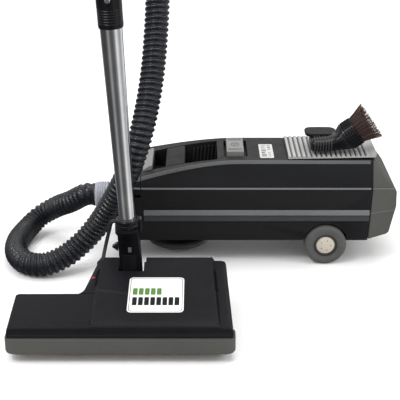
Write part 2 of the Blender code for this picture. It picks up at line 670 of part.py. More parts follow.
def ridge_right(y):
    """Right ridge of the centre panel."""
    return -0.0015 - (y + 0.245) * 0.043


def cover_ring(y, inset, drop, foot):
    """Section of the nozzle cover at y: flanks, shoulders and the raised centre panel."""
    left = left_edge(y) + inset
    right = right_edge(y) - inset
    low = shoulder_z(y) - inset - drop
    high = panel_z(y) - inset - drop
    edge = low - 0.007
    panel_left = max(RIDGE_LEFT_X + inset, left + 0.0085)
    panel_right = ridge_right(y) - inset
    half = [(left, foot), (left, edge), (left + 0.002, low - 0.002), (left + 0.007, low),
            (panel_left - 0.001, low + 0.0002), (panel_left + 0.003, high),
            (panel_right - 0.003, high), (panel_right + 0.001, low + 0.0002),
            (right - 0.007, low), (right - 0.002, low - 0.002), (right, edge), (right, foot)]
    return [(x, y, z) for x, z in half]


def cover_stations(inset):
    """(y, drop) pairs along the cover, rounded over at its front and rear edges."""
    front = NOZ_FRONT_Y + inset
    arm = NOZ_ARM_Y - inset
    rear = NOZ_REAR_Y - inset
    return ([(front, 0.006), (front + 0.0015, 0.0025), (front + 0.005, 0.0005), (-0.230, 0), (-0.195, 0),
             (arm - 0.001, 0), (arm, 0.001), (NOZ_ARM_Y + 0.0010 - inset * 0.2, 0.001)]
            + [(y, 0) for y in (-0.1585, -0.156, -0.152, -0.147, -0.140, -0.115, -0.085)]
            + [(rear - 0.004, 0.0006), (rear - 0.001, 0.003), (rear, 0.007)])


def notch(low_z, high_z, rear=0.0):
    """The gap in the nozzle's rear edge that the neck swings in, close beside the neck at the front."""
    outline = [(NOTCH_X[0], NOTCH_FRONT_Y), (NOTCH_SIDE_X, NOTCH_FRONT_Y), (NOTCH_SIDE_X, NOTCH_STEP_Y),
               (NOTCH_X[1], NOTCH_STEP_Y), (NOTCH_X[1], rear), (NOTCH_X[0], rear)]
    return prism(outline, "Z", low_z, high_z)


def make_nozzle_cover():
    """Upper shell of the power nozzle, an L in plan with a raised centre panel."""
    cover = add_object("nozzle_cover",
                       loft([cover_ring(y, 0, drop, NOZ_SPLIT_Z) for y, drop in cover_stations(0)]),
                       "black plastic")
    cut(cover, loft([cover_ring(y, 0.0025, drop, NOZ_SPLIT_Z - 0.01) for y, drop in cover_stations(0.0025)]))
    cut(cover, notch(0.0, 0.1))
    cut(cover, rod((-0.2040, -0.117, 0.05), (-0.2040, -0.117, 0.09), 0.0033, 16))

    button = [(0, 0), (0.0040, 0), (0.0040, 0.0015), (0.003, 0.0015), (0.003, 0.0120), (0.0024, 0.0126),
              (0, 0.0126)]
    add_object("reset_button", turned(button, (-0.2040, -0.117, 0.0620), (0, 0, 1), 16), "red plastic",
               origin=(-0.2040, -0.117, 0.0620))

    front, rear = -0.216, -0.124
    rise = Vector((0, 1, PANEL_SLOPE)).normalized()
    lift = Vector((0, -rise.z, rise.y))
    plate = []
    for x in (-0.1445, -0.0575):
        foot = [Vector((x, y, panel_z(y))) + lift * GAP for y in (front, rear)]
        plate.append([foot[0], foot[1], foot[1] + lift * 0.0007, foot[0] + lift * 0.0007])
    add_object("nozzle_label", loft(plate), "white card")


def arc(centre, radius, start, end, steps=5):
    """Points along an arc, angles in degrees."""
    angles = [math.radians(start + (end - start) * i / steps) for i in range(steps + 1)]
    return [(centre[0] + radius * math.cos(a), centre[1] + radius * math.sin(a)) for a in angles]


def base_outline(inset):
    """Plan of the nozzle base, an L that leaves room for the bumper at the front and sides."""
    left, right, rear_right = BUMPER_X[0] + 0.0093 + inset, BUMPER_X[1] - 0.0093 - inset, 0.0100 - inset
    front, arm, rear = -0.2427 + inset, NOZ_ARM_Y - 0.001 - inset, NOZ_REAR_Y - 0.0005 - inset
    return [(left, front + 0.005), (left + 0.005, front), (right - 0.005, front), (right, front + 0.005),
            (right, -0.152), (rear_right, -0.150), (rear_right, rear),
            (-0.2010 + inset, rear), (-0.2180 + inset, -0.150), (-0.2180 + inset, arm), (left, arm)]


def brush_slot(low_z, high_z):
    """Opening under the brush roll."""
    return block((ROLL_X[0] - 0.001, -0.2398, low_z), (PULLEY_X[1] + 0.0002, -0.1952, high_z))


def wheel_well(x, low_z, high_z):
    """Opening that a nozzle wheel stands in."""
    return block((x - 0.0065, NOZ_WHEEL_Y - 0.0170, low_z), (x + 0.0065, NOZ_WHEEL_Y + 0.0170, high_z))


def make_nozzle_base():
    """Lower shell with the brush tunnel, wheel wells and the neck's bearing cheeks."""
    base = add_object("nozzle_base", prism(base_outline(0), "Z", *BASE_Z), "black plastic")
    cut(base, prism(base_outline(0.0025), "Z", BASE_Z[0] + 0.0025, 0.1))
    cheek = 0.0032
    fuse(base, block((NOTCH_X[0] - cheek, NOTCH_FRONT_Y - cheek, BASE_Z[0]),
                     (NOTCH_X[1] + cheek, NOZ_REAR_Y - 0.0006, BASE_Z[1])))
    cut(base, notch(0.0, 0.1), brush_slot(0.0, BASE_Z[0] + 0.005))
    for x in NOZ_WHEELS_X:
        cut(base, wheel_well(x, 0.0, BASE_Z[0] + 0.005))
    cut(base, rod((NOTCH_X[0] - 0.01, PIVOT.y, PIVOT.z), (NOTCH_X[1] + 0.01, PIVOT.y, PIVOT.z), 0.0053))

    sole = add_object("soleplate", prism(base_outline(0.0005), "Z", 0.0080, BASE_Z[0] - GAP), "steel")
    for x in (-0.262, -0.062):
        fuse(sole, block((x - 0.006, -0.188, 0.0010), (x + 0.006, -0.164, 0.0090)))
    cut(sole, notch(0.0, 0.1), brush_slot(0.0, 0.02))
    for x in NOZ_WHEELS_X:
        cut(sole, wheel_well(x, 0.0, 0.02))


def make_nozzle_bumper():
    """Grey bumper around the nozzle's front and sides."""
    left, right, front = BUMPER_X[0], BUMPER_X[1], BUMPER_Y
    side, deep, radius = 0.009, 0.012, 0.014
    outline = ([(left, -0.162)] + arc((left + radius, front + radius), radius, 180, 270)
               + arc((right - radius, front + radius), radius, 270, 360) + [(right, -0.222)]
               + [(right - side, -0.222), (right - side, front + deep), (left + side, front + deep),
                  (left + side, -0.162)])
    bumper = add_object("nozzle_bumper", prism(outline, "Z", *BUMPER_Z), "bumper grey")
    soften(bumper, 0.003, 2, 50)


def make_brush_roll():
    """Roll with two twisted bristle rows and a pulley, its bearings, belt and drive motor."""
    def ring(x, core, tuft, twist):
        points = []
        for k in range(16):
            angle = 2 * math.pi * k / 16
            radius = tuft if k in (0, 8) else core
            points.append((x, ROLL_Y + radius * math.cos(angle + twist), ROLL_Z + radius * math.sin(angle + twist)))
        return points
    journal = 0.0038
    rings = [ring(-0.3150, journal, journal, 0), ring(ROLL_X[0] - GAP, journal, journal, 0),
             ring(ROLL_X[0], ROLL_CORE_R, ROLL_CORE_R, 0)]
    sections = 16
    for i in range(sections + 1):
        share = i / sections
        x = ROLL_X[0] + 0.002 + (ROLL_X[1] - ROLL_X[0] - 0.004) * share
        rings.append(ring(x, ROLL_CORE_R, ROLL_TUFT_R, math.pi * share))
    rings += [ring(ROLL_X[1], ROLL_CORE_R, ROLL_CORE_R, math.pi), ring(PULLEY_X[0], 0.0115, 0.0115, math.pi),
              ring(PULLEY_X[1], 0.0115, 0.0115, math.pi), ring(PULLEY_X[1] + GAP, journal, journal, math.pi),
              ring(0.0090, journal, journal, math.pi)]
    add_object("brush_roll", loft(rings), "wood", origin=(ROLL_X[0], ROLL_Y, ROLL_Z))
    add_object("brush_bearing_left", tube((-0.3153, ROLL_Y, ROLL_Z), (-0.3088, ROLL_Y, ROLL_Z), 0.0105,
                                          journal + GAP), "soft black plastic")
    add_object("brush_bearing_right", tube((0.0026, ROLL_Y, ROLL_Z), (0.0093, ROLL_Y, ROLL_Z), 0.0105,
                                           journal + GAP), "soft black plastic")

    add_object("nozzle_motor", rod((-0.105, MOTOR_Y, MOTOR_Z), (-0.016, MOTOR_Y, MOTOR_Z), MOTOR_R, 24), "steel")
    pulley = [(0, 0), (0.003, 0), (0.003, 0.007), (0.0065, 0.007), (0.0065, 0.0175), (0, 0.0175)]
    centre = (-0.0157, MOTOR_Y, MOTOR_Z)
    add_object("motor_pulley", turned(pulley, centre, (1, 0, 0)), "steel", origin=centre)

    def loop(extra):
        small, large = 0.0065 + extra, 0.0115 + extra
        run = math.hypot(MOTOR_Y - ROLL_Y, MOTOR_Z - ROLL_Z)
        heading = math.degrees(math.atan2(MOTOR_Z - ROLL_Z, MOTOR_Y - ROLL_Y))
        spread = math.degrees(math.acos((large - small) / run))
        return (arc((MOTOR_Y, MOTOR_Z), small, heading - spread, heading + spread, 8)
                + arc((ROLL_Y, ROLL_Z), large, heading + spread, heading + 360 - spread, 10))
    slack = 0.0006
    outer, inner = loop(slack + 0.0015), loop(slack)
    belt = bmesh.new()
    rows = [[belt.verts.new((x, *p)) for p in points]
            for x, points in ((-0.0080, outer), (0.0004, outer), (0.0004, inner), (-0.0080, inner))]
    for row, following in zip(rows, rows[1:] + rows[:1]):
        for i in range(len(row)):
            j = (i + 1) % len(row)
            belt.faces.new((row[i], row[j], following[j], following[i]))
    add_object("drive_belt", belt, "rubber")


def make_nozzle_wheels():
    """Small wheels under the rear of the nozzle, with moulded stub axles."""
    for side, x in zip(("left", "right"), NOZ_WHEELS_X):
        wheel = [(0, -0.0080), (0.002, -0.0080), (0.002, -0.0050), (NOZ_WHEEL_R - 0.001, -0.0050),
                 (NOZ_WHEEL_R, -0.0040), (NOZ_WHEEL_R, 0.0040), (NOZ_WHEEL_R - 0.001, 0.0050), (0.002, 0.0050),
                 (0.002, 0.0080), (0, 0.0080)]
        centre = (x, NOZ_WHEEL_Y, NOZ_WHEEL_R)
        add_object("nozzle_wheel_" + side, turned(wheel, centre, (1, 0, 0)), "rubber", origin=centre)


def make_gland():
    """Tapered strain relief on the nozzle's rear wall."""
    section = [(0, 0), (0.0060, 0), (0.0060, 0.004), (0.0050, 0.005), (0.0040, 0.0202), (0, 0.0202)]
    add_object("pigtail_gland", turned(section, (-0.1955, NOZ_REAR_Y + GAP, 0.068), (0, 1, 0), 16), "rubber")


# ---------------------------------------------------------------- neck, wand and handle

def wand_axis():
    """Empty on the neck's pivot, leaning with the wand. Children stand along its Z axis."""
    empty = bpy.data.objects.new("wand_axis", None)
    bpy.context.scene.collection.objects.link(empty)
    empty.location = PIVOT
    empty.rotation_euler = (0, -LEAN, 0)
    return empty


def on_wand(along, across=0.0, forward=0.0):
    """World point beside the wand: distance along it, to +X and towards -Y."""
    return PIVOT + Matrix.Rotation(-LEAN, 3, "Y") @ Vector((across, -forward, along))


def make_neck():
    """Swivelling neck on its pin, with the wand's socket, the release button and a foot tab."""
    def ring(along, half_x, half_y, square):
        points = []
        for k in range(20):
            a = 2 * math.pi * k / 20
            c, s = math.cos(a), math.sin(a)
            radius = 1 / (abs(c) ** square + abs(s) ** square) ** (1 / square)
            points.append((half_x * radius * c, half_y * radius * s, along))
        return [PIVOT + Vector((x - math.tan(LEAN) * z, y, z)) for x, y, z in points]
    stations = [(-0.0083, NECK_HALF, 0.0070, 6), (0.020, NECK_HALF, 0.0150, 5), (0.050, NECK_HALF, 0.0175, 4),
                (0.095, 0.0178, 0.0178, 3), (NECK_TOP, 0.0180, 0.0180, 2.2)]
    neck = add_object("neck", loft([ring(*station) for station in stations]), "soft black plastic", origin=PIVOT)
    fuse(neck, rod(PIVOT - Vector((NECK_HALF - 0.0005, 0, 0)), PIVOT + Vector((NECK_HALF - 0.0005, 0, 0)), 0.0120))
    cut(neck, rod(on_wand(0.045), on_wand(0.2), WAND_FOOT_R + 0.0012, 24))
    cut(neck, rod(PIVOT - Vector((0.03, 0, 0)), PIVOT + Vector((0.03, 0, 0)), 0.0053, 16))
    front = PIVOT.y - 0.0178
    button_x, button_z = -0.1452, 0.1170
    cut(neck, block((button_x - 0.0029, front - 0.01, button_z - 0.0044),
                    (button_x + 0.0029, front + 0.010, button_z + 0.0044)))
    add_object("neck_pin", rod((NOTCH_X[0] - 0.003, PIVOT.y, PIVOT.z), (NOTCH_X[1] + 0.003, PIVOT.y, PIVOT.z), 0.005),
               "steel")
    button = add_object("wand_release_button",
                        block((button_x - 0.0026, front - 0.0018, button_z - 0.0041),
                              (button_x + 0.0026, front + 0.0010, button_z + 0.0041)),
                        "grey plastic", origin=(button_x, front - 0.0018, button_z))
    soften(button, 0.0005)
    side = on_wand(0.085).x - NECK_HALF
    tab = [(side - 0.0006, 0.1075), (side - 0.0006, 0.1215), (side - 0.0040, 0.1205), (side - 0.0105, 0.1150)]
    lever = add_object("tilt_release_tab", prism(tab, "Y", PIVOT.y - 0.0045, PIVOT.y + 0.0045), "black plastic",
                       origin=(side - 0.0006, PIVOT.y, 0.1145))
    soften(lever, 0.0008)


def make_wand(axis):
    """Chrome wand sections, their collars and lock button, along the leaning axis."""
    top = COLLAR_TOP
    taper = (WAND_TOP_R - WAND_FOOT_R) / (WAND_TOP - 0.13)
    hole = WAND_FOOT_R + taper * 0.006 + GAP
    ring = [(hole, NECK_TOP + 0.0015), (0.0185, NECK_TOP + 0.0015), (0.0192, NECK_TOP + 0.004),
            (0.0190, top - 0.002), (0.0172, top), (hole, top)]
    collar = add_object("neck_collar", turned(ring, (0, 0, 0), (0, 0, 1), 24), "soft black plastic", parent=axis)
    collar.parent = None
    fuse(collar, block((0.0165, -0.006, NECK_TOP + 0.002), (0.0222, 0.006, top - 0.001)))
    fuse(collar, block((0.0187, -0.006, NECK_TOP - 0.006), (0.0222, 0.006, NECK_TOP + 0.006)))
    collar.parent = axis
    bore = WAND_FOOT_R - 0.0012
    lower = [(bore, WAND_FOOT), (WAND_FOOT_R, WAND_FOOT), (WAND_FOOT_R, 0.130), (WAND_TOP_R, WAND_TOP),
             (WAND_TOP_R - 0.0012, WAND_TOP), (bore, 0.130)]
    add_object("lower_wand", turned(lower, (0, 0, 0), (0, 0, 1), 24), "chrome", parent=axis)
    low, high = COUPLER
    sleeve = [(WAND_TOP_R + GAP, low), (0.0186, low), (COUPLER_R, low + 0.003), (COUPLER_R, high - 0.004),
              (0.0182, high), (UPPER_R + GAP, high), (UPPER_R + GAP, WAND_TOP + GAP), (WAND_TOP_R + GAP, WAND_TOP + GAP)]
    coupler = add_object("wand_coupler", turned(sleeve, (0, 0, 0), (0, 0, 1), 24), "soft black plastic")
    cut(coupler, rod((0, -0.03, 0.489), (0, 0, 0.489), 0.0045, 16))
    coupler.parent = axis
    button = [(0, 0), (0.0042, 0), (0.0042, 0.0045), (0.0034, 0.0055), (0, 0.0055)]
    add_object("coupler_lock_button", turned(button, (0, -0.0188, 0.489), (0, -1, 0), 16), "steel",
               origin=(0, -0.0188, 0.489), parent=axis)
    upper = [(UPPER_R - 0.0012, WAND_TOP + 0.0006), (UPPER_R, WAND_TOP + 0.0006), (UPPER_R, UPPER_TOP),
             (UPPER_R - 0.0012, UPPER_TOP)]
    add_object("upper_wand", turned(upper, (0, 0, 0), (0, 0, 1), 24), "chrome", parent=axis)


def grip_path():
    """Centre line of the curved handle, in the wand's frame."""
    points = [(0, 0, GRIP_FOOT), (0, 0, UPPER_TOP + 0.001), (0, 0, BEND_FOOT)]
    steps = 9
    for i in range(1, steps + 1):
        a = BEND_ANGLE * i / steps
        points.append((0, BEND_R * (1 - math.cos(a)), BEND_FOOT + BEND_R * math.sin(a)))
    tail = Vector(points[-1]) + GRIP_TAIL * Vector((0, math.sin(BEND_ANGLE), math.cos(BEND_ANGLE)))
    return points + [tuple(tail)]


def make_handle(axis):
    """Curved grip over the wand's top, its thumb switch, and the cuff that holds the hose."""
    path = grip_path()
    count = len(path)
    outer = [0.0190, 0.0195, 0.0195] + [0.0195 - 0.0015 * math.sin(math.pi * i / (count - 3)) for i in range(1, count - 2)]
    grip = add_object("handle_grip", sweep(path, outer), "soft black plastic")
    inner_path = [(0, 0, GRIP_FOOT - 0.01)] + path[1:-1] + [
        tuple(Vector(path[-1]) + 0.01 * (Vector(path[-1]) - Vector(path[-2])).normalized())]
    bores = [UPPER_R + GAP] * 2 + [0.0135] * (count - 2)
    cut(grip, sweep(inner_path, bores))
    grip.parent = axis

    slider = add_object("handle_switch", block((-0.006, -0.0242, 0.846), (0.006, -0.0200, 0.866)), "grey plastic",
                        origin=(0, -0.0221, 0.856), parent=axis)
    slider.parent = None
    soften(slider, 0.0010)
    slider.parent = axis

    along = Vector((0, math.sin(BEND_ANGLE), math.cos(BEND_ANGLE)))
    cuff = [(0.0165, 0), (0.0195, 0), (0.0195, 0.004), (0.0225, 0.008), (0.0225, CUFF_LENGTH - 0.002),
            (0.0212, CUFF_LENGTH), (0.0165, CUFF_LENGTH)]
    add_object("hose_cuff_handle", turned(cuff, Vector(path[-1]) + GAP * along, along, 24), "black plastic", parent=axis)


def make_hose():
    """Hose, its cuff at the machine, and the pigtail lead with its plug."""
    section = [(0.0175, 0.0), (0.0232, 0.0), (0.0232, 0.040), (0.0245, 0.042), (0.0245, 0.059), (0.0215, 0.0655),
               (0.0175, 0.0655)]
    centre = (-0.1605, CAN_Y, INLET_Z)
    add_object("hose_cuff_machine", turned(section, centre, (-1, 0, 0), PLASTIC_STEPS), "light grey plastic",
               origin=centre)
    cord("hose", HOSE_ROUTE, HOSE_R, 0.045, 3, "hose black")
    plug = add_object("pigtail_plug", block((-0.1607, -0.0652, 0.1385), (-0.1430, -0.0520, 0.1555)), "rubber")
    soften(plug, 0.002)
    cord("pigtail_lead", PIGTAIL_ROUTE, PIGTAIL_R, 0.010, 2, "rubber")


# ---------------------------------------------------------------- dusting brush

def make_dusting_brush():
    """Flat upholstery mouth, round head tilted upwards, and a flaring ring of bristles."""
    def ring(x, half_y, low, high):
        middle, half_z = (low + high) / 2, (high - low) / 2
        points = []
        for k in range(20):
            a = 2 * math.pi * k / 20
            c, s = math.cos(a), math.sin(a)
            radius = 1 / (abs(c) ** 3.5 + abs(s) ** 3.5) ** (1 / 3.5)
            points.append((x, BRUSH_Y + half_y * radius * c, middle + half_z * radius * s))
        return points
    z = BRUSH_Z
    stations = [(0.1630, 0.016, z + 0.004, z + 0.018), (0.1655, 0.022, z + 0.001, z + 0.0215),
                (0.172, 0.025, z, z + 0.0235), (0.196, 0.025, z, z + 0.0250), (0.208, 0.022, z + 0.001, z + 0.029)]
    rings = [ring(*station) for station in stations]
    along = Vector((math.cos(BRUSH_TILT), 0, math.sin(BRUSH_TILT)))
    upright = Vector((-along.z, 0, along.x))
    last = HEAD_BASE - along * GAP
    rings.append([last + 0.0245 * (math.cos(a) * Vector((0, 1, 0)) + math.sin(a) * upright)
                  for a in [2 * math.pi * k / 20 for k in range(20)]])
    add_object("brush_body", loft(rings), "soft black plastic", origin=(0.196, BRUSH_Y, z))

    head = [(0, 0), (HEAD_R - 0.001, 0), (HEAD_R, 0.001), (HEAD_R, HEAD_LENGTH), (0, HEAD_LENGTH)]
    add_object("brush_ferrule", turned(head, HEAD_BASE, along, 24), "black plastic", origin=HEAD_BASE)
    tufts = [(0, 0), (HEAD_R - 0.001, 0), (TUFT_R, TUFT_LENGTH - 0.002), (TUFT_R - 0.004, TUFT_LENGTH), (0, TUFT_LENGTH)]
    add_object("brush_bristles", turned(tufts, HEAD_BASE + along * (HEAD_LENGTH + GAP), along, 24), "horsehair",
               origin=HEAD_BASE)


def main():
    clear_scene()
    make_tub()
    make_deck()
    make_carry_handle()
    make_door_and_latch()
    make_pedal_and_label()
    make_exhaust()
    make_rear_bumper()
    make_side_trims()
    make_hose_inlet()
    make_insides()
    make_rear_wheels()
    make_turntable()
    make_nozzle_cover()
    make_nozzle_base()
    make_nozzle_bumper()
    make_brush_roll()
    make_nozzle_wheels()
    make_gland()
    axis = wand_axis()
    make_neck()
    make_wand(axis)
    make_handle(axis)
    make_hose()
    make_dusting_brush()


main()
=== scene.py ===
"""Looks of the canister vacuum cleaner: camera, stage, hose and lead, and every visible surface."""
import json
import math
import random

import bmesh
import bpy
import numpy as np
from mathutils import Matrix, Vector

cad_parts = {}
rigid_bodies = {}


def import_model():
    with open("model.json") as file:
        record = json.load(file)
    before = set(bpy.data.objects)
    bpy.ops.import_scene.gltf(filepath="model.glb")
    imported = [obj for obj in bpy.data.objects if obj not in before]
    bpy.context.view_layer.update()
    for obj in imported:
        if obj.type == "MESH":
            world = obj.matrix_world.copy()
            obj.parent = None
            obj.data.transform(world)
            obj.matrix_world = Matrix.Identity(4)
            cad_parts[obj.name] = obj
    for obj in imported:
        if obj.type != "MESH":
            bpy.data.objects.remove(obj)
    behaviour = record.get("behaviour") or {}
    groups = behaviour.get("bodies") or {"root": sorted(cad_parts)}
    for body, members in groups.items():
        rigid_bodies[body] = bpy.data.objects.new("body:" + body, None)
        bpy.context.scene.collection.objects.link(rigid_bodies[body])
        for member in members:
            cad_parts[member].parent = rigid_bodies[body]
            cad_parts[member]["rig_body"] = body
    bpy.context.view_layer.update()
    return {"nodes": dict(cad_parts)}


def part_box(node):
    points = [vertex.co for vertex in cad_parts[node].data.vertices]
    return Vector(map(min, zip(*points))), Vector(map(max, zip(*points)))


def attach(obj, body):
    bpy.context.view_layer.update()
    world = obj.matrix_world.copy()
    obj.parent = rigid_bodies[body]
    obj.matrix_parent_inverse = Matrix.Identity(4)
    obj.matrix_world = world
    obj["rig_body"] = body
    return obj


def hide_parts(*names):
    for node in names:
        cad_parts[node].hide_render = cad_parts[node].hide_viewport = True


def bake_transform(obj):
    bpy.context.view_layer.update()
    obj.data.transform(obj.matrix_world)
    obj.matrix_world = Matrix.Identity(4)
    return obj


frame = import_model()
NODES = frame["nodes"]
SCENE = bpy.context.scene

CAN_Y = 0.165            # centre plane of the canister
PIVOT = Vector((-0.1425, -0.085, 0.030))    # where the neck tilts
LEAN = math.radians(2.8)                    # sideways lean of the wand
LOOK_DOWN = math.radians(23.3)
ABOVE = 0.95             # brightness of the surroundings overhead
GLOSS_BELOW = ((0.0, 0.06), (0.10, 0.08), (0.24, 0.36), (0.42, 0.12), (0.60, 0.10),
               (0.76, 0.27), (0.88, 0.95), (0.95, 0.70), (1.0, 0.3))    # (place from left to right, brightness)


# ---------------------------------------------------------------- camera, light and floor

def make_camera():
    data = bpy.data.cameras.new("camera")
    data.sensor_width = 36
    data.lens = 90
    camera = bpy.data.objects.new("camera", data)
    camera.location = (-0.0325, -1.545, 0.825)
    camera.rotation_euler = (math.radians(90) - LOOK_DOWN, 0, 0)
    SCENE.collection.objects.link(camera)
    SCENE.camera = camera


def area_light(name, location, target, size, power):
    data = bpy.data.lights.new(name, "AREA")
    data.shape = "RECTANGLE"
    data.size, data.size_y = size
    data.energy = power
    lamp = bpy.data.objects.new(name, data)
    lamp.location = location
    lamp.rotation_euler = (Vector(location) - Vector(target)).to_track_quat("Z", "Y").to_euler()
    SCENE.collection.objects.link(lamp)


def make_world():
    """Plain pale surroundings. What the plating mirrors from below is brighter to the right."""
    world = bpy.data.worlds.new("studio")
    world.use_nodes = True
    tree = world.node_tree
    plain = tree.nodes["Background"]
    plain.inputs["Color"].default_value = (1.0, 1.0, 1.0, 1)
    plain.inputs["Strength"].default_value = 0.97
    heading = new_node(tree, "ShaderNodeSeparateXYZ")
    wire(tree, new_node(tree, "ShaderNodeTexCoord").outputs["Generated"], heading.inputs[0])
    below = new_node(tree, "ShaderNodeValToRGB")
    wire(tree, mapped(tree, heading.outputs["X"], 0, 1, -1, 1), below.inputs["Fac"])
    elements = below.color_ramp.elements
    elements[0].position, elements[1].position = GLOSS_BELOW[0][0], GLOSS_BELOW[-1][0]
    for place, _ in GLOSS_BELOW[1:-1]:
        elements.new(place)
    for element, (_, level) in zip(elements, GLOSS_BELOW):
        element.color = (level, level, level, 1)
    height = mapped(tree, heading.outputs["Z"], 0, 1, -0.06, 0.06)
    soft = new_node(tree, "ShaderNodeBackground")
    wire(tree, mixed(tree, height, below.outputs["Color"], (ABOVE, ABOVE, ABOVE)), soft.inputs["Color"])
    seen = new_node(tree, "ShaderNodeMixShader")
    wire(tree, new_node(tree, "ShaderNodeLightPath").outputs["Is Camera Ray"], seen.inputs["Fac"])
    wire(tree, soft.outputs[0], seen.inputs[1])
    wire(tree, plain.outputs[0], seen.inputs[2])
    wire(tree, seen.outputs[0], tree.nodes["World Output"].inputs["Surface"])
    SCENE.world = world


def make_stage():
    make_world()
    SCENE.view_settings.view_transform = "Standard"
    area_light("key", (-1.1, -0.9, 1.9), (0, 0, 0.1), (0.9, 0.7), 22)
    area_light("top", (0.2, 0.5, 2.3), (0, 0.1, 0.1), (1.7, 1.3), 26)
    area_light("side", (1.6, -0.5, 1.2), (0, 0, 0.2), (0.5, 0.9), 7)
    bpy.ops.mesh.primitive_plane_add(size=14, location=(0, 0, 0))
    floor = bpy.context.object
    floor.name = "floor"
    paint, _, shader = node_material("floor_paint")
    shader.inputs["Base Color"].default_value = (0.94, 0.94, 0.935, 1)
    shader.inputs["Roughness"].default_value = 0.75
    floor.data.materials.append(paint)
    floor.visible_glossy = False


# ---------------------------------------------------------------- materials

def node_material(name):
    made = bpy.data.materials.new(name)
    made.use_nodes = True
    return made, made.node_tree, made.node_tree.nodes["Principled BSDF"]


def wire(tree, source, target):
    tree.links.new(source, target)


def new_node(tree, kind, **values):
    node = tree.nodes.new(kind)
    for key, value in values.items():
        if key in node.inputs:
            node.inputs[key].default_value = value
        else:
            setattr(node, key, value)
    return node


def noise(tree, vector, scale, detail=3.0, rough=0.55):
    node = new_node(tree, "ShaderNodeTexNoise", Scale=scale, Detail=detail, Roughness=rough)
    wire(tree, vector, node.inputs["Vector"])
    return node.outputs["Fac"]


def object_space(tree):
    return new_node(tree, "ShaderNodeTexCoord").outputs["Object"]


def mapped(tree, value, low, high, from_low=0.3, from_high=0.7):
    node = new_node(tree, "ShaderNodeMapRange")
    wire(tree, value, node.inputs["Value"])
    for key, number in (("From Min", from_low), ("From Max", from_high), ("To Min", low), ("To Max", high)):
        node.inputs[key].default_value = number
    return node.outputs["Result"]


def mixed(tree, factor, first, second):
    node = new_node(tree, "ShaderNodeMix", data_type="RGBA")
    wire(tree, factor, node.inputs["Factor"])
    for value, socket in ((first, node.inputs[6]), (second, node.inputs[7])):
        if hasattr(value, "links"):
            wire(tree, value, socket)
        else:
            socket.default_value = (*value, 1)
    return node.outputs[2]


def bump(tree, shader, height, distance, strength=1.0, under=None):
    node = new_node(tree, "ShaderNodeBump", Strength=strength, Distance=distance)
    wire(tree, height, node.inputs["Height"])
    if under is not None:
        wire(tree, under, node.inputs["Normal"])
    wire(tree, node.outputs["Normal"], shader.inputs["Normal"])
    return node.outputs["Normal"]


def drawn_lines(tree, where, axis, stretch, scale, detail):
    """Noise drawn out into lines along one axis."""
    pull = [1.0, 1.0, 1.0]
    pull[axis] = stretch
    mapping = new_node(tree, "ShaderNodeMapping", Scale=pull)
    wire(tree, where, mapping.inputs["Vector"])
    return noise(tree, mapping.outputs["Vector"], scale, detail)


def toned(colour, gain, lift=0.0):
    """The colour times gain plus lift, kept under full white."""
    return tuple(min(1.0, c * gain + lift) for c in colour)


def plastic(name, colour, roughness, grain=0.00010, grain_scale=1100, wear=0.35, metal=0.0, spread=0.22,
            shine=0.35):
    """Moulded plastic: fine spark-eroded grain, drifting tone, worn lighter edges and handling marks."""
    made, tree, shader = node_material(name)
    where = object_space(tree)
    tone = noise(tree, where, 9.0, 4.0)
    mottle = noise(tree, where, 130.0, 5.0)
    base = mixed(tree, mapped(tree, tone, 0, 1), toned(colour, 1 - spread), toned(colour, 1 + spread))
    base = mixed(tree, mapped(tree, mottle, 0, 0.30), base, toned(colour, 1.25, 0.004))
    edges = new_node(tree, "ShaderNodeNewGeometry").outputs["Pointiness"]
    worn = mapped(tree, edges, 0, wear, 0.505, 0.56)
    base = mixed(tree, worn, base, toned(colour, 1.7, 0.02))
    wire(tree, base, shader.inputs["Base Color"])
    scuffs = noise(tree, where, 46.0, 6.0, 0.7)
    wire(tree, mapped(tree, scuffs, roughness * 0.82, roughness * 1.22), shader.inputs["Roughness"])
    shader.inputs["Metallic"].default_value = metal
    shader.inputs["Specular IOR Level"].default_value = shine
    fine = bump(tree, shader, noise(tree, where, grain_scale, 2.0), grain, 0.6)
    bump(tree, shader, noise(tree, where, 60.0, 2.0), 0.00018, 0.35, under=fine)
    return made


def chrome():
    """Polished plate with a faint drawn grain and dulled patches."""
    made, tree, shader = node_material("chrome_plate")
    where = object_space(tree)
    patch = noise(tree, where, 26.0, 5.0)
    base = mixed(tree, mapped(tree, patch, 0, 1), (0.70, 0.71, 0.73), (0.86, 0.86, 0.87))
    wire(tree, base, shader.inputs["Base Color"])
    wire(tree, mapped(tree, patch, 0.05, 0.13), shader.inputs["Roughness"])
    shader.inputs["Metallic"].default_value = 1.0
    bump(tree, shader, drawn_lines(tree, where, 2, 0.03, 900.0, 3.0), 0.00002, 0.4)
    return made


def metal(name, colour, roughness, grain_axis):
    """Brushed or cast metal with drawn lines along one axis."""
    made, tree, shader = node_material(name)
    where = object_space(tree)
    lines = drawn_lines(tree, where, grain_axis, 0.04, 700.0, 4.0)
    tone = noise(tree, where, 30.0, 4.0)
    wire(tree, mixed(tree, mapped(tree, tone, 0, 1), toned(colour, 0.8), colour), shader.inputs["Base Color"])
    wire(tree, mapped(tree, lines, roughness * 0.8, roughness * 1.3), shader.inputs["Roughness"])
    shader.inputs["Metallic"].default_value = 1.0
    bump(tree, shader, lines, 0.00005, 0.5)
    return made


def rubber(name, colour, roughness=0.7, grain=0.00014):
    """Matt rubber with dust held in its grain."""
    made, tree, shader = node_material(name)
    where = object_space(tree)
    dust = noise(tree, where, 38.0, 6.0, 0.7)
    base = mixed(tree, mapped(tree, dust, 0, 0.4, 0.45, 0.75), colour, toned(colour, 1.5, 0.03))
    wire(tree, base, shader.inputs["Base Color"])
    wire(tree, mapped(tree, dust, roughness * 0.85, min(1, roughness * 1.15)), shader.inputs["Roughness"])
    bump(tree, shader, noise(tree, where, 800.0, 3.0), grain, 0.7)
    return made


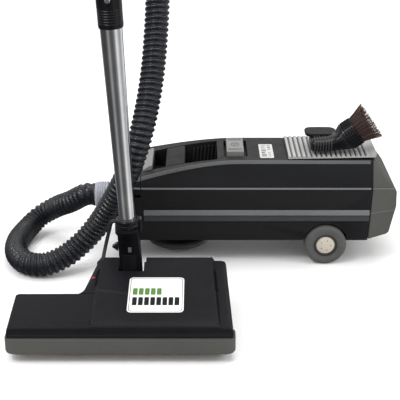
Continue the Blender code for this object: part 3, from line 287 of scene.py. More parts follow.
def hose_material():
    """Glossy ribbed plastic over a wire helix, with the fine weave of its lining showing through."""
    made, tree, shader = node_material("hose_plastic")
    uv = new_node(tree, "ShaderNodeTexCoord").outputs["UV"]
    heights = []
    for slope in (1.0, -1.0):
        turn = new_node(tree, "ShaderNodeMapping")
        turn.inputs["Rotation"].default_value = (0, 0, math.radians(40) * slope)
        wire(tree, uv, turn.inputs["Vector"])
        threads = new_node(tree, "ShaderNodeTexWave", Scale=95.0, Distortion=0.6)
        threads.bands_direction = "X"
        wire(tree, turn.outputs["Vector"], threads.inputs["Vector"])
        heights.append(threads.outputs["Fac"])
    crossed = new_node(tree, "ShaderNodeMath", operation="MULTIPLY")
    wire(tree, heights[0], crossed.inputs[0])
    wire(tree, heights[1], crossed.inputs[1])
    where = object_space(tree)
    dust = noise(tree, where, 60.0, 5.0)
    base = mixed(tree, crossed.outputs[0], (0.003, 0.0034, 0.005), (0.012, 0.014, 0.020))
    base = mixed(tree, mapped(tree, dust, 0, 0.12), base, (0.024, 0.026, 0.034))
    wire(tree, base, shader.inputs["Base Color"])
    wire(tree, mapped(tree, dust, 0.12, 0.24), shader.inputs["Roughness"])
    shader.inputs["Specular IOR Level"].default_value = 0.34
    fine = bump(tree, shader, crossed.outputs[0], 0.0005, 0.5)
    bump(tree, shader, noise(tree, where, 150.0, 3.0), 0.0006, 0.5, under=fine)
    return made


def hair_material():
    """Natural hair: each strand has its own tone, darker at the root."""
    made, tree, shader = node_material("horsehair")
    shade = new_node(tree, "ShaderNodeVertexColor", layer_name="strand")
    where = object_space(tree)
    streak = noise(tree, where, 420.0, 3.0)
    base = mixed(tree, mapped(tree, streak, 0, 0.25), shade.outputs["Color"], (0.12, 0.070, 0.055))
    wire(tree, base, shader.inputs["Base Color"])
    wire(tree, mapped(tree, streak, 0.45, 0.7), shader.inputs["Roughness"])
    shader.inputs["Specular IOR Level"].default_value = 0.3
    bump(tree, shader, streak, 0.0001, 0.4)
    return made


def label_material(name, shade=0.74):
    """Coated card with a faint fibre."""
    made, tree, shader = node_material(name)
    where = object_space(tree)
    fibre = noise(tree, where, 300.0, 5.0)
    dark, light = [[shade * k for k in tint] for tint in ((0.95, 0.95, 0.935), (1.05, 1.05, 1.04))]
    base = mixed(tree, mapped(tree, fibre, 0, 1), dark, light)
    wire(tree, base, shader.inputs["Base Color"])
    wire(tree, mapped(tree, noise(tree, where, 40.0), 0.28, 0.45), shader.inputs["Roughness"])
    bump(tree, shader, fibre, 0.00004, 0.3)
    return made


# Looks by name
M = {
    "black": plastic("black_moulding", (0.0042, 0.0044, 0.0052), 0.46, shine=0.10),
    "deck_black": plastic("deck_moulding", (0.0080, 0.0083, 0.0090), 0.46, shine=0.14),
    "gloss_black": plastic("gloss_black_moulding", (0.0028, 0.0030, 0.0042), 0.22, shine=0.22),
    "nozzle_black": plastic("nozzle_moulding", (0.0042, 0.0044, 0.0060), 0.42, 0.00016, 800, shine=0.08),
    "soft_black": plastic("soft_black_moulding", (0.0016, 0.0017, 0.0026), 0.36, 0.00014, shine=0.07),
    "void": plastic("slot_shadow", (0.0012, 0.0012, 0.0014), 0.8, shine=0.1, wear=0.0),
    "grey": plastic("grey_moulding", (0.060, 0.061, 0.063), 0.46, spread=0.14, shine=0.3),
    "dark_grey": plastic("dark_grey_moulding", (0.026, 0.027, 0.029), 0.46, spread=0.16, shine=0.25),
    # lighter grey of the shoulder ribs, also used as the painted highlight along the rear bumper's creases
    "rib_and_crease_highlight_grey": plastic("rib_moulding_and_painted_crease_highlight", (0.095, 0.097, 0.100), 0.42, spread=0.10, shine=0.25),
    "light_grey": plastic("light_grey_moulding", (0.150, 0.150, 0.146), 0.44, spread=0.10, shine=0.3),
    "cuff_grey": plastic("cuff_moulding", (0.30, 0.31, 0.35), 0.30, spread=0.14),
    "trim_grey": plastic("trim_grey_moulding", (0.112, 0.114, 0.117), 0.40, spread=0.10, shine=0.25),
    "groove": plastic("groove_moulding", (0.085, 0.085, 0.085), 0.5, spread=0.1, wear=0.0, shine=0.1),
    "silver": plastic("silver_painted_moulding", (0.34, 0.34, 0.335), 0.40, metal=0.1, spread=0.08, wear=0.2),
    "bumper": plastic("bumper_vinyl", (0.054, 0.0535, 0.0495), 0.58, 0.00020, 700, spread=0.12, shine=0.2),
    "chrome": chrome(),
    "steel": metal("brushed_steel", (0.56, 0.56, 0.57), 0.30, 0),
    "can": metal("motor_can", (0.42, 0.42, 0.43), 0.42, 1),
    "rubber": rubber("black_rubber", (0.008, 0.008, 0.009)),
    "tyre": rubber("grey_tyre", (0.066, 0.067, 0.064), 0.66),
    "hub": plastic("hub_cap_satin", (0.62, 0.56, 0.47), 0.32, metal=0.3, spread=0.07, wear=0.2, shine=0.5),
    "label": label_material("label_card"),
    "plate": label_material("plate_card", 0.50),
    "mark_grey": plastic("printed_grey", (0.20, 0.20, 0.21), 0.5, spread=0.05, wear=0.0),
    "mark_dark": plastic("printed_black", (0.008, 0.009, 0.011), 0.5, spread=0.05, wear=0.0, shine=0.1),
    "mark_green": plastic("printed_green", (0.080, 0.180, 0.042), 0.5, spread=0.06, wear=0.0, shine=0.1),
    "red": plastic("red_button", (0.20, 0.016, 0.014), 0.35, spread=0.10, shine=0.3),
    "paper": rubber("filter_paper", (0.52, 0.44, 0.33), 0.9),
    "foam": rubber("filter_foam", (0.08, 0.09, 0.10), 0.95, 0.0006),
    "wood": plastic("roll_varnish", (0.35, 0.20, 0.10), 0.42, spread=0.35),
    "hose": hose_material(),
    "hair": hair_material(),
}


# ---------------------------------------------------------------- mesh helpers

def add_piece(name, mesh, look, body, *stands_for):
    """Link a finished mesh as one piece that rides on a body."""
    obj = bpy.data.objects.new(name, mesh)
    SCENE.collection.objects.link(obj)
    mesh.materials.clear()
    mesh.materials.append(M[look])
    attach(obj, body)
    if stands_for:
        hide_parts(*stands_for)
    return obj


def to_mesh(name, solid, sharp=40):
    """Close a bmesh into a smooth-shaded mesh with sharp edges above an angle."""
    bmesh.ops.recalc_face_normals(solid, faces=solid.faces)
    mesh = bpy.data.meshes.new(name)
    solid.to_mesh(mesh)
    solid.free()
    mesh.shade_smooth()
    mesh.set_sharp_from_angle(angle=math.radians(sharp))
    return mesh


def rounded_off(name, mesh, width, angle=30, segments=3):
    """The mesh with its sharp edges rounded and its normals weighted by face area."""
    obj = bpy.data.objects.new(name + "_work", mesh)
    SCENE.collection.objects.link(obj)
    mesh.shade_smooth()
    if width:
        round_edges = obj.modifiers.new("round", "BEVEL")
        round_edges.width = width
        round_edges.segments = segments
        round_edges.limit_method = "ANGLE"
        round_edges.angle_limit = math.radians(angle)
        round_edges.use_clamp_overlap = True
    weigh = obj.modifiers.new("weigh", "WEIGHTED_NORMAL")
    weigh.keep_sharp = True
    bpy.context.view_layer.update()
    done = bpy.data.meshes.new_from_object(obj.evaluated_get(bpy.context.evaluated_depsgraph_get()))
    bpy.data.objects.remove(obj, do_unlink=True)
    done.name = name
    return done


def refine(node, look, width=0.0, angle=30, segments=3, second=None, raised=None):
    """Skin over a CAD node: the same form with its edges rounded.

    second is (look, test) for some of its faces; raised(point) is how far a corner of it is lifted.
    """
    source = NODES[node]
    solid = bmesh.new()
    solid.from_mesh(source.data)
    bmesh.ops.remove_doubles(solid, verts=solid.verts, dist=2e-6)
    if raised:
        for vert in solid.verts:
            vert.co.z += raised(vert.co)
    bmesh.ops.dissolve_limit(solid, angle_limit=math.radians(1.0), verts=solid.verts, edges=solid.edges)
    mesh = bpy.data.meshes.new(node)
    solid.to_mesh(mesh)
    solid.free()
    obj = add_piece(node + "_skin", rounded_off(node + "_skin", mesh, width, angle, segments), look,
                    source["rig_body"], node)
    if second:
        obj.data.materials.append(M[second[0]])
        for polygon in obj.data.polygons:
            polygon.material_index = int(second[1](polygon))
    return obj


def block(low, high):
    """Box between two corners, as a bmesh."""
    solid = bmesh.new()
    bmesh.ops.create_cube(solid, size=1)
    for vert in solid.verts:
        vert.co = Vector([(h + l) / 2 + c * (h - l) for c, l, h in zip(vert.co, low, high)])
    return solid


def soft_block(name, low, high, look, body, width=0.0006, tilt=None):
    """Small block with rounded edges; tilt is (angle, axis) about its own middle."""
    solid = block(low, high)
    if tilt:
        middle = (Vector(low) + Vector(high)) / 2
        bmesh.ops.rotate(solid, cent=middle, matrix=Matrix.Rotation(tilt[0], 3, tilt[1]), verts=solid.verts)
    mesh = bpy.data.meshes.new(name)
    solid.to_mesh(mesh)
    solid.free()
    return add_piece(name, rounded_off(name, mesh, width, segments=2), look, body)


def joined(name, solids, look, body, width=0.0, sharp=40):
    """Several small solids as one piece."""
    whole = bmesh.new()
    for solid in solids:
        part = bpy.data.meshes.new("part")
        solid.to_mesh(part)
        solid.free()
        whole.from_mesh(part)
        bpy.data.meshes.remove(part)
    mesh = to_mesh(name, whole, sharp)
    if width:
        mesh = rounded_off(name, mesh, width, segments=2)
    return add_piece(name, mesh, look, body)


def prism(outline, axis, low, high):
    """Outline in the plane across an axis, extruded between two coordinates along it."""
    solid = bmesh.new()
    place = {"X": lambda p, d: (d, p[0], p[1]), "Y": lambda p, d: (p[0], d, p[1]),
             "Z": lambda p, d: (p[0], p[1], d)}
    rows = [[solid.verts.new(place[axis](p, d)) for p in outline] for d in (low, high)]
    solid.faces.new(rows[0])
    solid.faces.new(rows[1])
    for i in range(len(outline)):
        j = (i + 1) % len(outline)
        solid.faces.new((rows[0][i], rows[0][j], rows[1][j], rows[1][i]))
    bmesh.ops.recalc_face_normals(solid, faces=solid.faces)
    return solid


def loft(rings, caps=True):
    """Skin over rings of the same number of points."""
    solid = bmesh.new()
    rows = [[solid.verts.new(p) for p in ring] for ring in rings]
    for row, after in zip(rows, rows[1:]):
        for i in range(len(row)):
            j = (i + 1) % len(row)
            solid.faces.new((row[i], row[j], after[j], after[i]))
    if caps:
        solid.faces.new(rows[0])
        solid.faces.new(rows[-1])
    bmesh.ops.recalc_face_normals(solid, faces=solid.faces)
    return solid


def turned(profile, centre, axis, steps=72):
    """Closed (radius, distance) profile turned about an axis through the centre."""
    axis = Vector(axis).normalized()
    across = axis.orthogonal().normalized()
    side = axis.cross(across)
    solid = bmesh.new()
    rows = []
    for k in range(steps):
        a = 2 * math.pi * k / steps
        spoke = across * math.cos(a) + side * math.sin(a)
        rows.append([solid.verts.new(Vector(centre) + axis * d + spoke * r) for r, d in profile])
    for row, after in zip(rows, rows[1:] + rows[:1]):
        for i in range(len(profile)):
            j = (i + 1) % len(profile)
            solid.faces.new((row[i], row[j], after[j], after[i]))
    bmesh.ops.remove_doubles(solid, verts=solid.verts, dist=1e-7)
    bmesh.ops.recalc_face_normals(solid, faces=solid.faces)
    return solid


def eased(profile, radius, steps=3):
    """Closed profile with its corners cut in small arcs."""
    made = []
    for i, corner in enumerate(profile):
        corner, before, after = Vector(corner), Vector(profile[i - 1]), Vector(profile[(i + 1) % len(profile)])
        if corner.x < 1e-9:
            made.append(tuple(corner))
            continue
        reach = min(radius, 0.45 * (before - corner).length, 0.45 * (after - corner).length)
        start = corner + (before - corner).normalized() * reach
        end = corner + (after - corner).normalized() * reach
        for k in range(steps + 1):
            t = k / steps
            made.append(tuple(start * (1 - t) ** 2 + corner * 2 * t * (1 - t) + end * t * t))
    return made


def lathe(name, profile, centre, axis, look, body, stands_for=(), steps=72, ease=0.0006):
    mesh = to_mesh(name, turned(eased(profile, ease) if ease else profile, centre, axis, steps), 35)
    return add_piece(name, mesh, look, body, *stands_for)


def smooth_route(points, spacing):
    """Points along a Catmull-Rom curve through the route, evenly spaced along its length."""
    points = [Vector(p) for p in points]
    ends = [2 * points[0] - points[1]] + points + [2 * points[-1] - points[-2]]
    dense = []
    for a, b, c, d in zip(ends, ends[1:], ends[2:], ends[3:]):
        for k in range(40):
            t = k / 40
            dense.append(0.5 * (2 * b + (c - a) * t + (2 * a - 5 * b + 4 * c - d) * t * t
                                + (3 * b - a - 3 * c + d) * t ** 3))
    dense = np.array(dense + [points[-1]])
    along = np.concatenate([[0], np.cumsum(np.linalg.norm(np.diff(dense, axis=0), axis=1))])
    count = max(2, round(along[-1] / spacing))
    wanted = np.linspace(0, along[-1], count + 1)
    return [Vector(p) for p in np.stack([np.interp(wanted, along, dense[:, i]) for i in range(3)], axis=1)]


def carried_frames(points):
    """Tangent and two cross directions at each point, turned as little as possible along the line."""
    frames = []
    normal = None
    for i, point in enumerate(points):
        tangent = (points[min(i + 1, len(points) - 1)] - points[max(i - 1, 0)]).normalized()
        if normal is None:
            normal = tangent.orthogonal().normalized()
        normal = (normal - tangent * normal.dot(tangent)).normalized()
        frames.append((tangent, normal, tangent.cross(normal)))
    return frames


def tube_mesh(name, points, sides, radius_at):
    """Round tube along points, whose radius is radius_at(length, angle), with caps and a UV in metres."""
    solid = bmesh.new()
    uv = solid.loops.layers.uv.new("UVMap")
    rows, lengths, run = [], [], 0.0
    for i, (point, (_, normal, side)) in enumerate(zip(points, carried_frames(points))):
        run += (point - points[i - 1]).length if i else 0.0
        lengths.append(run)
        row = []
        for k in range(sides):
            angle = 2 * math.pi * k / sides
            spoke = math.cos(angle) * normal + math.sin(angle) * side
            row.append(solid.verts.new(point + radius_at(run, angle) * spoke))
        rows.append(row)
    girth = 2 * math.pi * radius_at(0.0, 0.0)
    for i in range(len(rows) - 1):
        for k in range(sides):
            j = (k + 1) % sides
            face = solid.faces.new((rows[i][k], rows[i][j], rows[i + 1][j], rows[i + 1][k]))
            for loop, (u, v) in zip(face.loops, ((k, i), (k + 1, i), (k + 1, i + 1), (k, i + 1))):
                loop[uv].uv = (girth * u / sides, lengths[v])
    solid.faces.new(rows[0])
    solid.faces.new(rows[-1])
    bmesh.ops.recalc_face_normals(solid, faces=solid.faces)
    mesh = bpy.data.meshes.new(name)
    solid.to_mesh(mesh)
    solid.free()
    mesh.shade_smooth()
    mesh.set_sharp_from_angle(angle=math.radians(60))
    return mesh


# ---------------------------------------------------------------- hose and pigtail lead

HOSE_R = 0.0205
PIGTAIL_R = 0.0032
HOSE_ROUTE = [
    (-0.2266, 0.1650, 0.1000), (-0.2450, 0.1650, 0.1000), (-0.2760, 0.1820, 0.0780),
    (-0.3050, 0.2050, 0.0580), (-0.3380, 0.2060, 0.0380), (-0.3610, 0.1780, 0.0225),
    (-0.3700, 0.1300, 0.0212), (-0.3640, 0.0800, 0.0212), (-0.3420, 0.0420, 0.0212),
    (-0.3080, 0.0300, 0.0230), (-0.2730, 0.0400, 0.0330), (-0.2420, 0.0560, 0.0530),
    (-0.2130, 0.0640, 0.0850), (-0.1875, 0.0540, 0.1280), (-0.1640, 0.0380, 0.1760),
    (-0.1450, 0.0330, 0.2220), (-0.1305, 0.0450, 0.2660), (-0.1195, 0.0730, 0.3120),
    (-0.1120, 0.1030, 0.3600), (-0.1078, 0.1310, 0.4080), (-0.1052, 0.1570, 0.4600),
    (-0.1060, 0.1860, 0.5300), (-0.1100, 0.2080, 0.6000), (-0.1190, 0.2220, 0.6700),
    (-0.1320, 0.2290, 0.7400), (-0.1460, 0.2270, 0.8050), (-0.1620, 0.2140, 0.8650),
    (-0.1750, 0.1880, 0.9130), (-0.1840, 0.1500, 0.9410), (-0.1878, 0.1150, 0.9560),
    (-0.1882, 0.0854, 0.9639),
]
PIGTAIL_ROUTE = [
    (-0.1955, -0.0392, 0.0680), (-0.1955, -0.0300, 0.0690), (-0.1945, -0.0200, 0.0740),
    (-0.1920, -0.0140, 0.0850), (-0.1885, -0.0130, 0.0990), (-0.1850, -0.0170, 0.1130),
    (-0.1820, -0.0260, 0.1260), (-0.1790, -0.0380, 0.1360), (-0.1745, -0.0500, 0.1430),
    (-0.1680, -0.0585, 0.1470), (-0.1611, -0.0585, 0.1470),
]


def route_length(points):
    return sum((b - a).length for a, b in zip(points, points[1:]))


def make_hose():
    """Ribbed hose: a helical ridge under the woven cover, flattened into plain cuffs at both ends."""
    pitch, depth = 0.0096, 0.0030
    points = smooth_route(HOSE_ROUTE, pitch / 8)
    total = route_length(points)

    def radius(run, angle):
        turn = (run / pitch - angle / (2 * math.pi)) % 1.0
        ridge = (0.5 - 0.5 * math.cos(2 * math.pi * turn)) ** 1.4
        ends = min(1.0, run / 0.012, (total - run) / 0.012)
        return HOSE_R + 0.0006 - depth * ridge * max(0.0, ends)

    mesh = tube_mesh("ribbed_hose", points, 40, radius)
    obj = bpy.data.objects.new("ribbed_hose", mesh)
    SCENE.collection.objects.link(obj)
    mesh.materials.append(M["hose"])
    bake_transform(obj)
    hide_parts("hose")
    return obj


def make_pigtail():
    """Short rubber lead from the nozzle's gland to the plug on the neck."""
    points = smooth_route(PIGTAIL_ROUTE, 0.0015)
    mesh = tube_mesh("pigtail", points, 16, lambda run, angle: PIGTAIL_R)
    obj = bpy.data.objects.new("pigtail", mesh)
    SCENE.collection.objects.link(obj)
    mesh.materials.append(M["rubber"])
    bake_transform(obj)
    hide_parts("pigtail_lead")
    return obj


def declare_cords():
    """Routes along the hose and along the lead, worked out and then left unused."""
    line = smooth_route(HOSE_ROUTE, 0.01)
    line = smooth_route(PIGTAIL_ROUTE, 0.004)


make_camera()
make_stage()
HOSE = make_hose()
PIGTAIL = make_pigtail()

# ---------------------------------------------------------------- canister

CAN_HALF = 0.085         # half width over the side panels
SHOULDER_Z = 0.146       # side panels lean in above this
DECK_Z = 0.190
DOOR_REAR_X = -0.1372    # bag door ends, deck starts
NOSE_ROUND_X = -0.1325   # the plan narrows forward of this
NOSE_X = -0.1875


def half_width(x):
    """Half width of the canister, a quarter ellipse at the nose."""
    share = max(0.0, (NOSE_ROUND_X - x) / (NOSE_ROUND_X - NOSE_X))
    return CAN_HALF - 0.030 * (1 - math.sqrt(max(0.0, 1 - share * share)))


def deck_height(x):
    """Deck line, flat at the rear and falling to the nose."""
    share = max(0.0, (0.030 - x) / 0.2175)
    return DECK_Z - 0.040 * share ** 1.6


def seam_x(z):
    """The leaning seam between the tub and the rear bumper."""
    return 0.2684 + (z - 0.040) * 0.031


def lean_in(z):
    """How far the shoulder has come inwards at a height."""
    return max(0.0, z - SHOULDER_Z) * 0.568


def spread(low, high, count):
    return [low + (high - low) * i / (count - 1) for i in range(count)]


def along_side(name, look, body, xs, section):
    """Strip along one side of the canister: section(x) gives its (half width, z) points, on both sides."""
    solids = []
    for sign in (-1, 1):
        solids.append(loft([[(x, CAN_Y + sign * y, z) for y, z in section(x)] for x in xs]))
    return joined(name, solids, look, body, sharp=30)


def make_canister():
    for node, look, width in (("canister_tub", "black", 0.0016), ("canister_deck", "deck_black", 0.0009),
                              ("bag_door", "black", 0.0014)):
        refine(node, look, width)
    refine("carry_handle", "black", 0.0016, 40)
    refine("door_latch", "light_grey", 0.0004)
    refine("power_pedal", "light_grey", 0.0006)
    low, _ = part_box("exhaust_cover")
    refine("exhaust_cover", "silver", 0.0004, second=(
        "groove", lambda p: abs(p.normal.y) < 0.5 and p.center.z - 0.022 * (p.center.x - low.x) < DECK_Z + 0.0046))
    refine("rear_bumper", "bumper", 0.0012)
    refine("cord_outlet_bush", "rubber", 0.0003)
    refine("hose_inlet", "black", 0.0005)
    for side in ("near", "far"):
        refine("side_trim_" + side, "trim_grey", 0.00035, second=("dark_grey", lambda p: p.center.z < 0.0957))
    machine_xs = [DOOR_REAR_X + 0.0006, NOSE_ROUND_X] + spread(-0.125, 0.2690, 12)
    door_xs = spread(NOSE_X + 0.0001, DOOR_REAR_X - 0.0008, 12)

    def rib(x):
        return [(half_width(x) + out, z) for out, z in (
            (-0.002, 0.1446), (0.0007, 0.1448), (0.0012, 0.1454), (0.0012, 0.1468), (0.0006, 0.1476),
            (-0.002, 0.1480))]

    def rim(x):
        top = deck_height(x)
        half = half_width(x) - lean_in(top)
        return [(half + out, top + rise) for out, rise in (
            (-0.0016, -0.0010), (-0.0010, 0.0004), (0.0006, 0.0002), (0.0034, -0.0046), (0.0030, -0.0054),
            (0.0020, -0.0052))]

    for name, body, xs in (("machine", "machine", machine_xs), ("door", "door", door_xs)):
        along_side("shoulder_rib_" + name, "rib_and_crease_highlight_grey", body, xs, rib)
        fine = sorted(set(xs + (spread(-0.12, 0.03, 16) if name == "machine" else [])))
        along_side("deck_rim_" + name, "grey", body, fine, rim)


def make_bumper_creases():
    """Raised lines along the rear bumper's creases, in line with the shoulder rib and the side moulding; their
    lighter grey is a painted highlight where the creases catch the light.
    """
    lines = []
    for sign in (-1, 1):
        for start, end, tall in (((seam_x(SHOULDER_Z) + 0.001, 0.1462), (0.3100, 0.1462), 0.0010),
                                 ((seam_x(0.1) + 0.001, 0.0990), (0.3150, 0.1065), 0.0008)):
            section = ((-0.001, -tall), (0.0003, -tall * 0.6), (0.0003, tall * 0.6), (-0.001, tall))
            lines.append(loft([[(x, CAN_Y + sign * (CAN_HALF + out), z + lift) for out, lift in section]
                               for x, z in (start, end)]))
    # painted highlight: the crease lines are drawn in the lighter rib grey
    joined("bumper_crease_highlights", lines, "rib_and_crease_highlight_grey", "machine")


def make_deck_details():
    """Ribs in the pit, lines on the pedal, marks on the rating plate, and the exhaust cover's lip."""
    pit_floor = 0.1385
    ribs = []
    for i in range(7):
        x, top = -0.006 - i * 0.0068, 0.182 - i * 0.0012
        ribs.append(prism([(x, pit_floor), (x + 0.0016, pit_floor), (x + 0.0046, top), (x + 0.0030, top)],
                          "Y", CAN_Y + 0.0445, CAN_Y + 0.0478))
    joined("pit_ribs", ribs, "dark_grey", "machine", 0.0002)
    soft_block("pit_step", (-0.0555, 0.1185, 0.1382), (-0.0025, 0.2115, 0.1400), "dark_grey", "machine", 0.0005)

    low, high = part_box("power_pedal")
    top = high.z
    x, y = (low.x + high.x) / 2, (low.y + high.y) / 2
    ring = [(0.0062, -0.0002), (0.0062, 0.00035), (0.0076, 0.00035), (0.0076, -0.0002)]
    lathe("pedal_ring", ring, (x, y, top), (0, 0, 1), "grey", "pedal", steps=48, ease=0.0001)
    soft_block("pedal_bar", (x - 0.0006, y - 0.0035, top - 0.0002), (x + 0.0006, y + 0.0035, top + 0.0004),
               "grey", "pedal", 0.0002)
    starts = [low.y + d for d in (0.006, 0.0095, 0.013)] + [high.y - d for d in (0.007, 0.0105, 0.014)]
    lines = [block((low.x + 0.003, y, top - 0.0003), (high.x - 0.003, y + 0.0012, top + 0.0003)) for y in starts]
    joined("pedal_grip", lines, "grey", "pedal", 0.0002)

    low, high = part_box("rating_plate")
    plate = rounded_plan(low.x, low.y, high.x, high.y, 0.0025)
    joined("rating_card", [prism(plate, "Z", low.z - 0.0002, high.z)], "plate", "machine", 0.00015)
    foot, top = high.z - 0.0001, high.z + 0.00012
    marks = []
    for i, y in enumerate(spread(low.y + 0.009, high.y - 0.009, 7)):
        end = 0.0100 if i in (2, 5) else 0.0125
        marks.append(block((low.x + 0.004, y - 0.0018, foot), (low.x + end, y + 0.0018, top)))
        if i != 3:
            marks.append(block((low.x + 0.0155, y - 0.0014, foot), (low.x + 0.0205, y + 0.0014, top)))
    joined("rating_marks", marks[::2], "mark_dark", "machine")
    joined("rating_lines", marks[1::2], "mark_grey", "machine")
    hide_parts("rating_plate")

    low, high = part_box("exhaust_cover")
    tip = prism([(high.x - 0.012, high.z - 0.002), (high.x + 0.0004, high.z - 0.0045),
                 (high.x + 0.0014, high.z + 0.0030)], "Y", low.y + 0.001, high.y - 0.001)
    joined("cover_lip", [tip], "silver", "cover", 0.0004)


def rounded_plan(x0, y0, x1, y1, radius, steps=5):
    """Corner points of a rectangle with rounded corners."""
    points = []
    for cx, cy, start in ((x0 + radius, y0 + radius, 180), (x1 - radius, y0 + radius, 270),
                          (x1 - radius, y1 - radius, 0), (x0 + radius, y1 - radius, 90)):
        for k in range(steps + 1):
            a = math.radians(start + 90 * k / steps)
            points.append((cx + radius * math.cos(a), cy + radius * math.sin(a)))
    return points


def make_running_gear():
    half = 0.014    # of the tyre's width
    for side, sign in (("near", -1), ("far", 1)):
        low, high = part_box("rear_tyre_" + side)
        centre, radius = (low + high) / 2, (high.z - low.z) / 2
        body, out = "rear_wheel_" + side, (0, sign, 0)
        tread = [(0.0215, -half), (0.0245, -half), (0.0250, -half + 0.0006), (0.0330, -half + 0.0004),
                 (radius - 0.0015, -half + 0.0022), (radius, -half + 0.005)]
        for d in (-0.0055, 0.0, 0.0055):
            tread += [(radius, d - 0.0009), (radius - 0.0010, d - 0.0005), (radius - 0.0010, d + 0.0005),
                      (radius, d + 0.0009)]
        tread += [(radius, half - 0.005), (radius - 0.0015, half - 0.0022), (0.0330, half - 0.0006), (0.0322, half),
                  (0.0262, half), (0.0254, half - 0.0008), (0.0215, half - 0.0008)]
        lathe("tyre_" + side, tread, centre, out, "tyre", body, ["rear_tyre_" + side], 96, 0.0004)
        dish = [(0, half - 0.0042), (0.0172, half - 0.0042), (0.0178, half - 0.0008), (0.0208, half - 0.0006),
                (0.0212, half - 0.0012), (0.0212, -half + 0.0008), (0, -half + 0.0008)]
        lathe("hub_dish_" + side, dish, centre, out, "dark_grey", body, ["wheel_hub_" + side], 72, 0.0003)
        cap = [(0, half - 0.0004), (0.0060, half - 0.0006), (0.0064, half - 0.0009), (0.0120, half - 0.0012),
               (0.0124, half - 0.0015), (0.0158, half - 0.0020), (0.0168, half - 0.0030), (0.0170, half - 0.0046),
               (0, half - 0.0046)]
        lathe("hub_cap_" + side, cap, centre, out, "hub", body, ease=0.0002)
        stud = [(0, -0.0004), (0.0009, -0.0004), (0.0009, 0.0004), (0, 0.0005)]
        spots = [centre + Vector((0.0092 * math.cos(a), sign * (half - 0.0012), 0.0092 * math.sin(a)))
                 for a in [2 * math.pi * k / 5 for k in range(5)]]
        joined("hub_studs_" + side, [turned(stud, spot, out, 12) for spot in spots], "dark_grey", body)
    refine("caster_turntable", "dark_grey", 0.0005)
    refine("rear_axle", "steel", 0.0003)
    for side in ("near", "far"):
        refine("caster_roller_" + side, "rubber", 0.0004)


# ---------------------------------------------------------------- power nozzle

PANEL_SLOPE = 0.1216
RIDGE_LEFT_X = -0.1985    # left edge of the raised panel


def panel_z(y):
    """Height of the raised centre panel."""
    return 0.0625 + (y + 0.245) * PANEL_SLOPE


def shoulder_z(y):
    """Height of the lower surface on both sides of the panel."""
    return 0.0600 + (y + 0.245) * 0.100



def right_edge(y):
    return 0.0178 - (y + 0.250) * 0.038


def ridge_right(y):
    """Right edge of the raised panel."""
    return -0.0015 - (y + 0.245) * 0.043


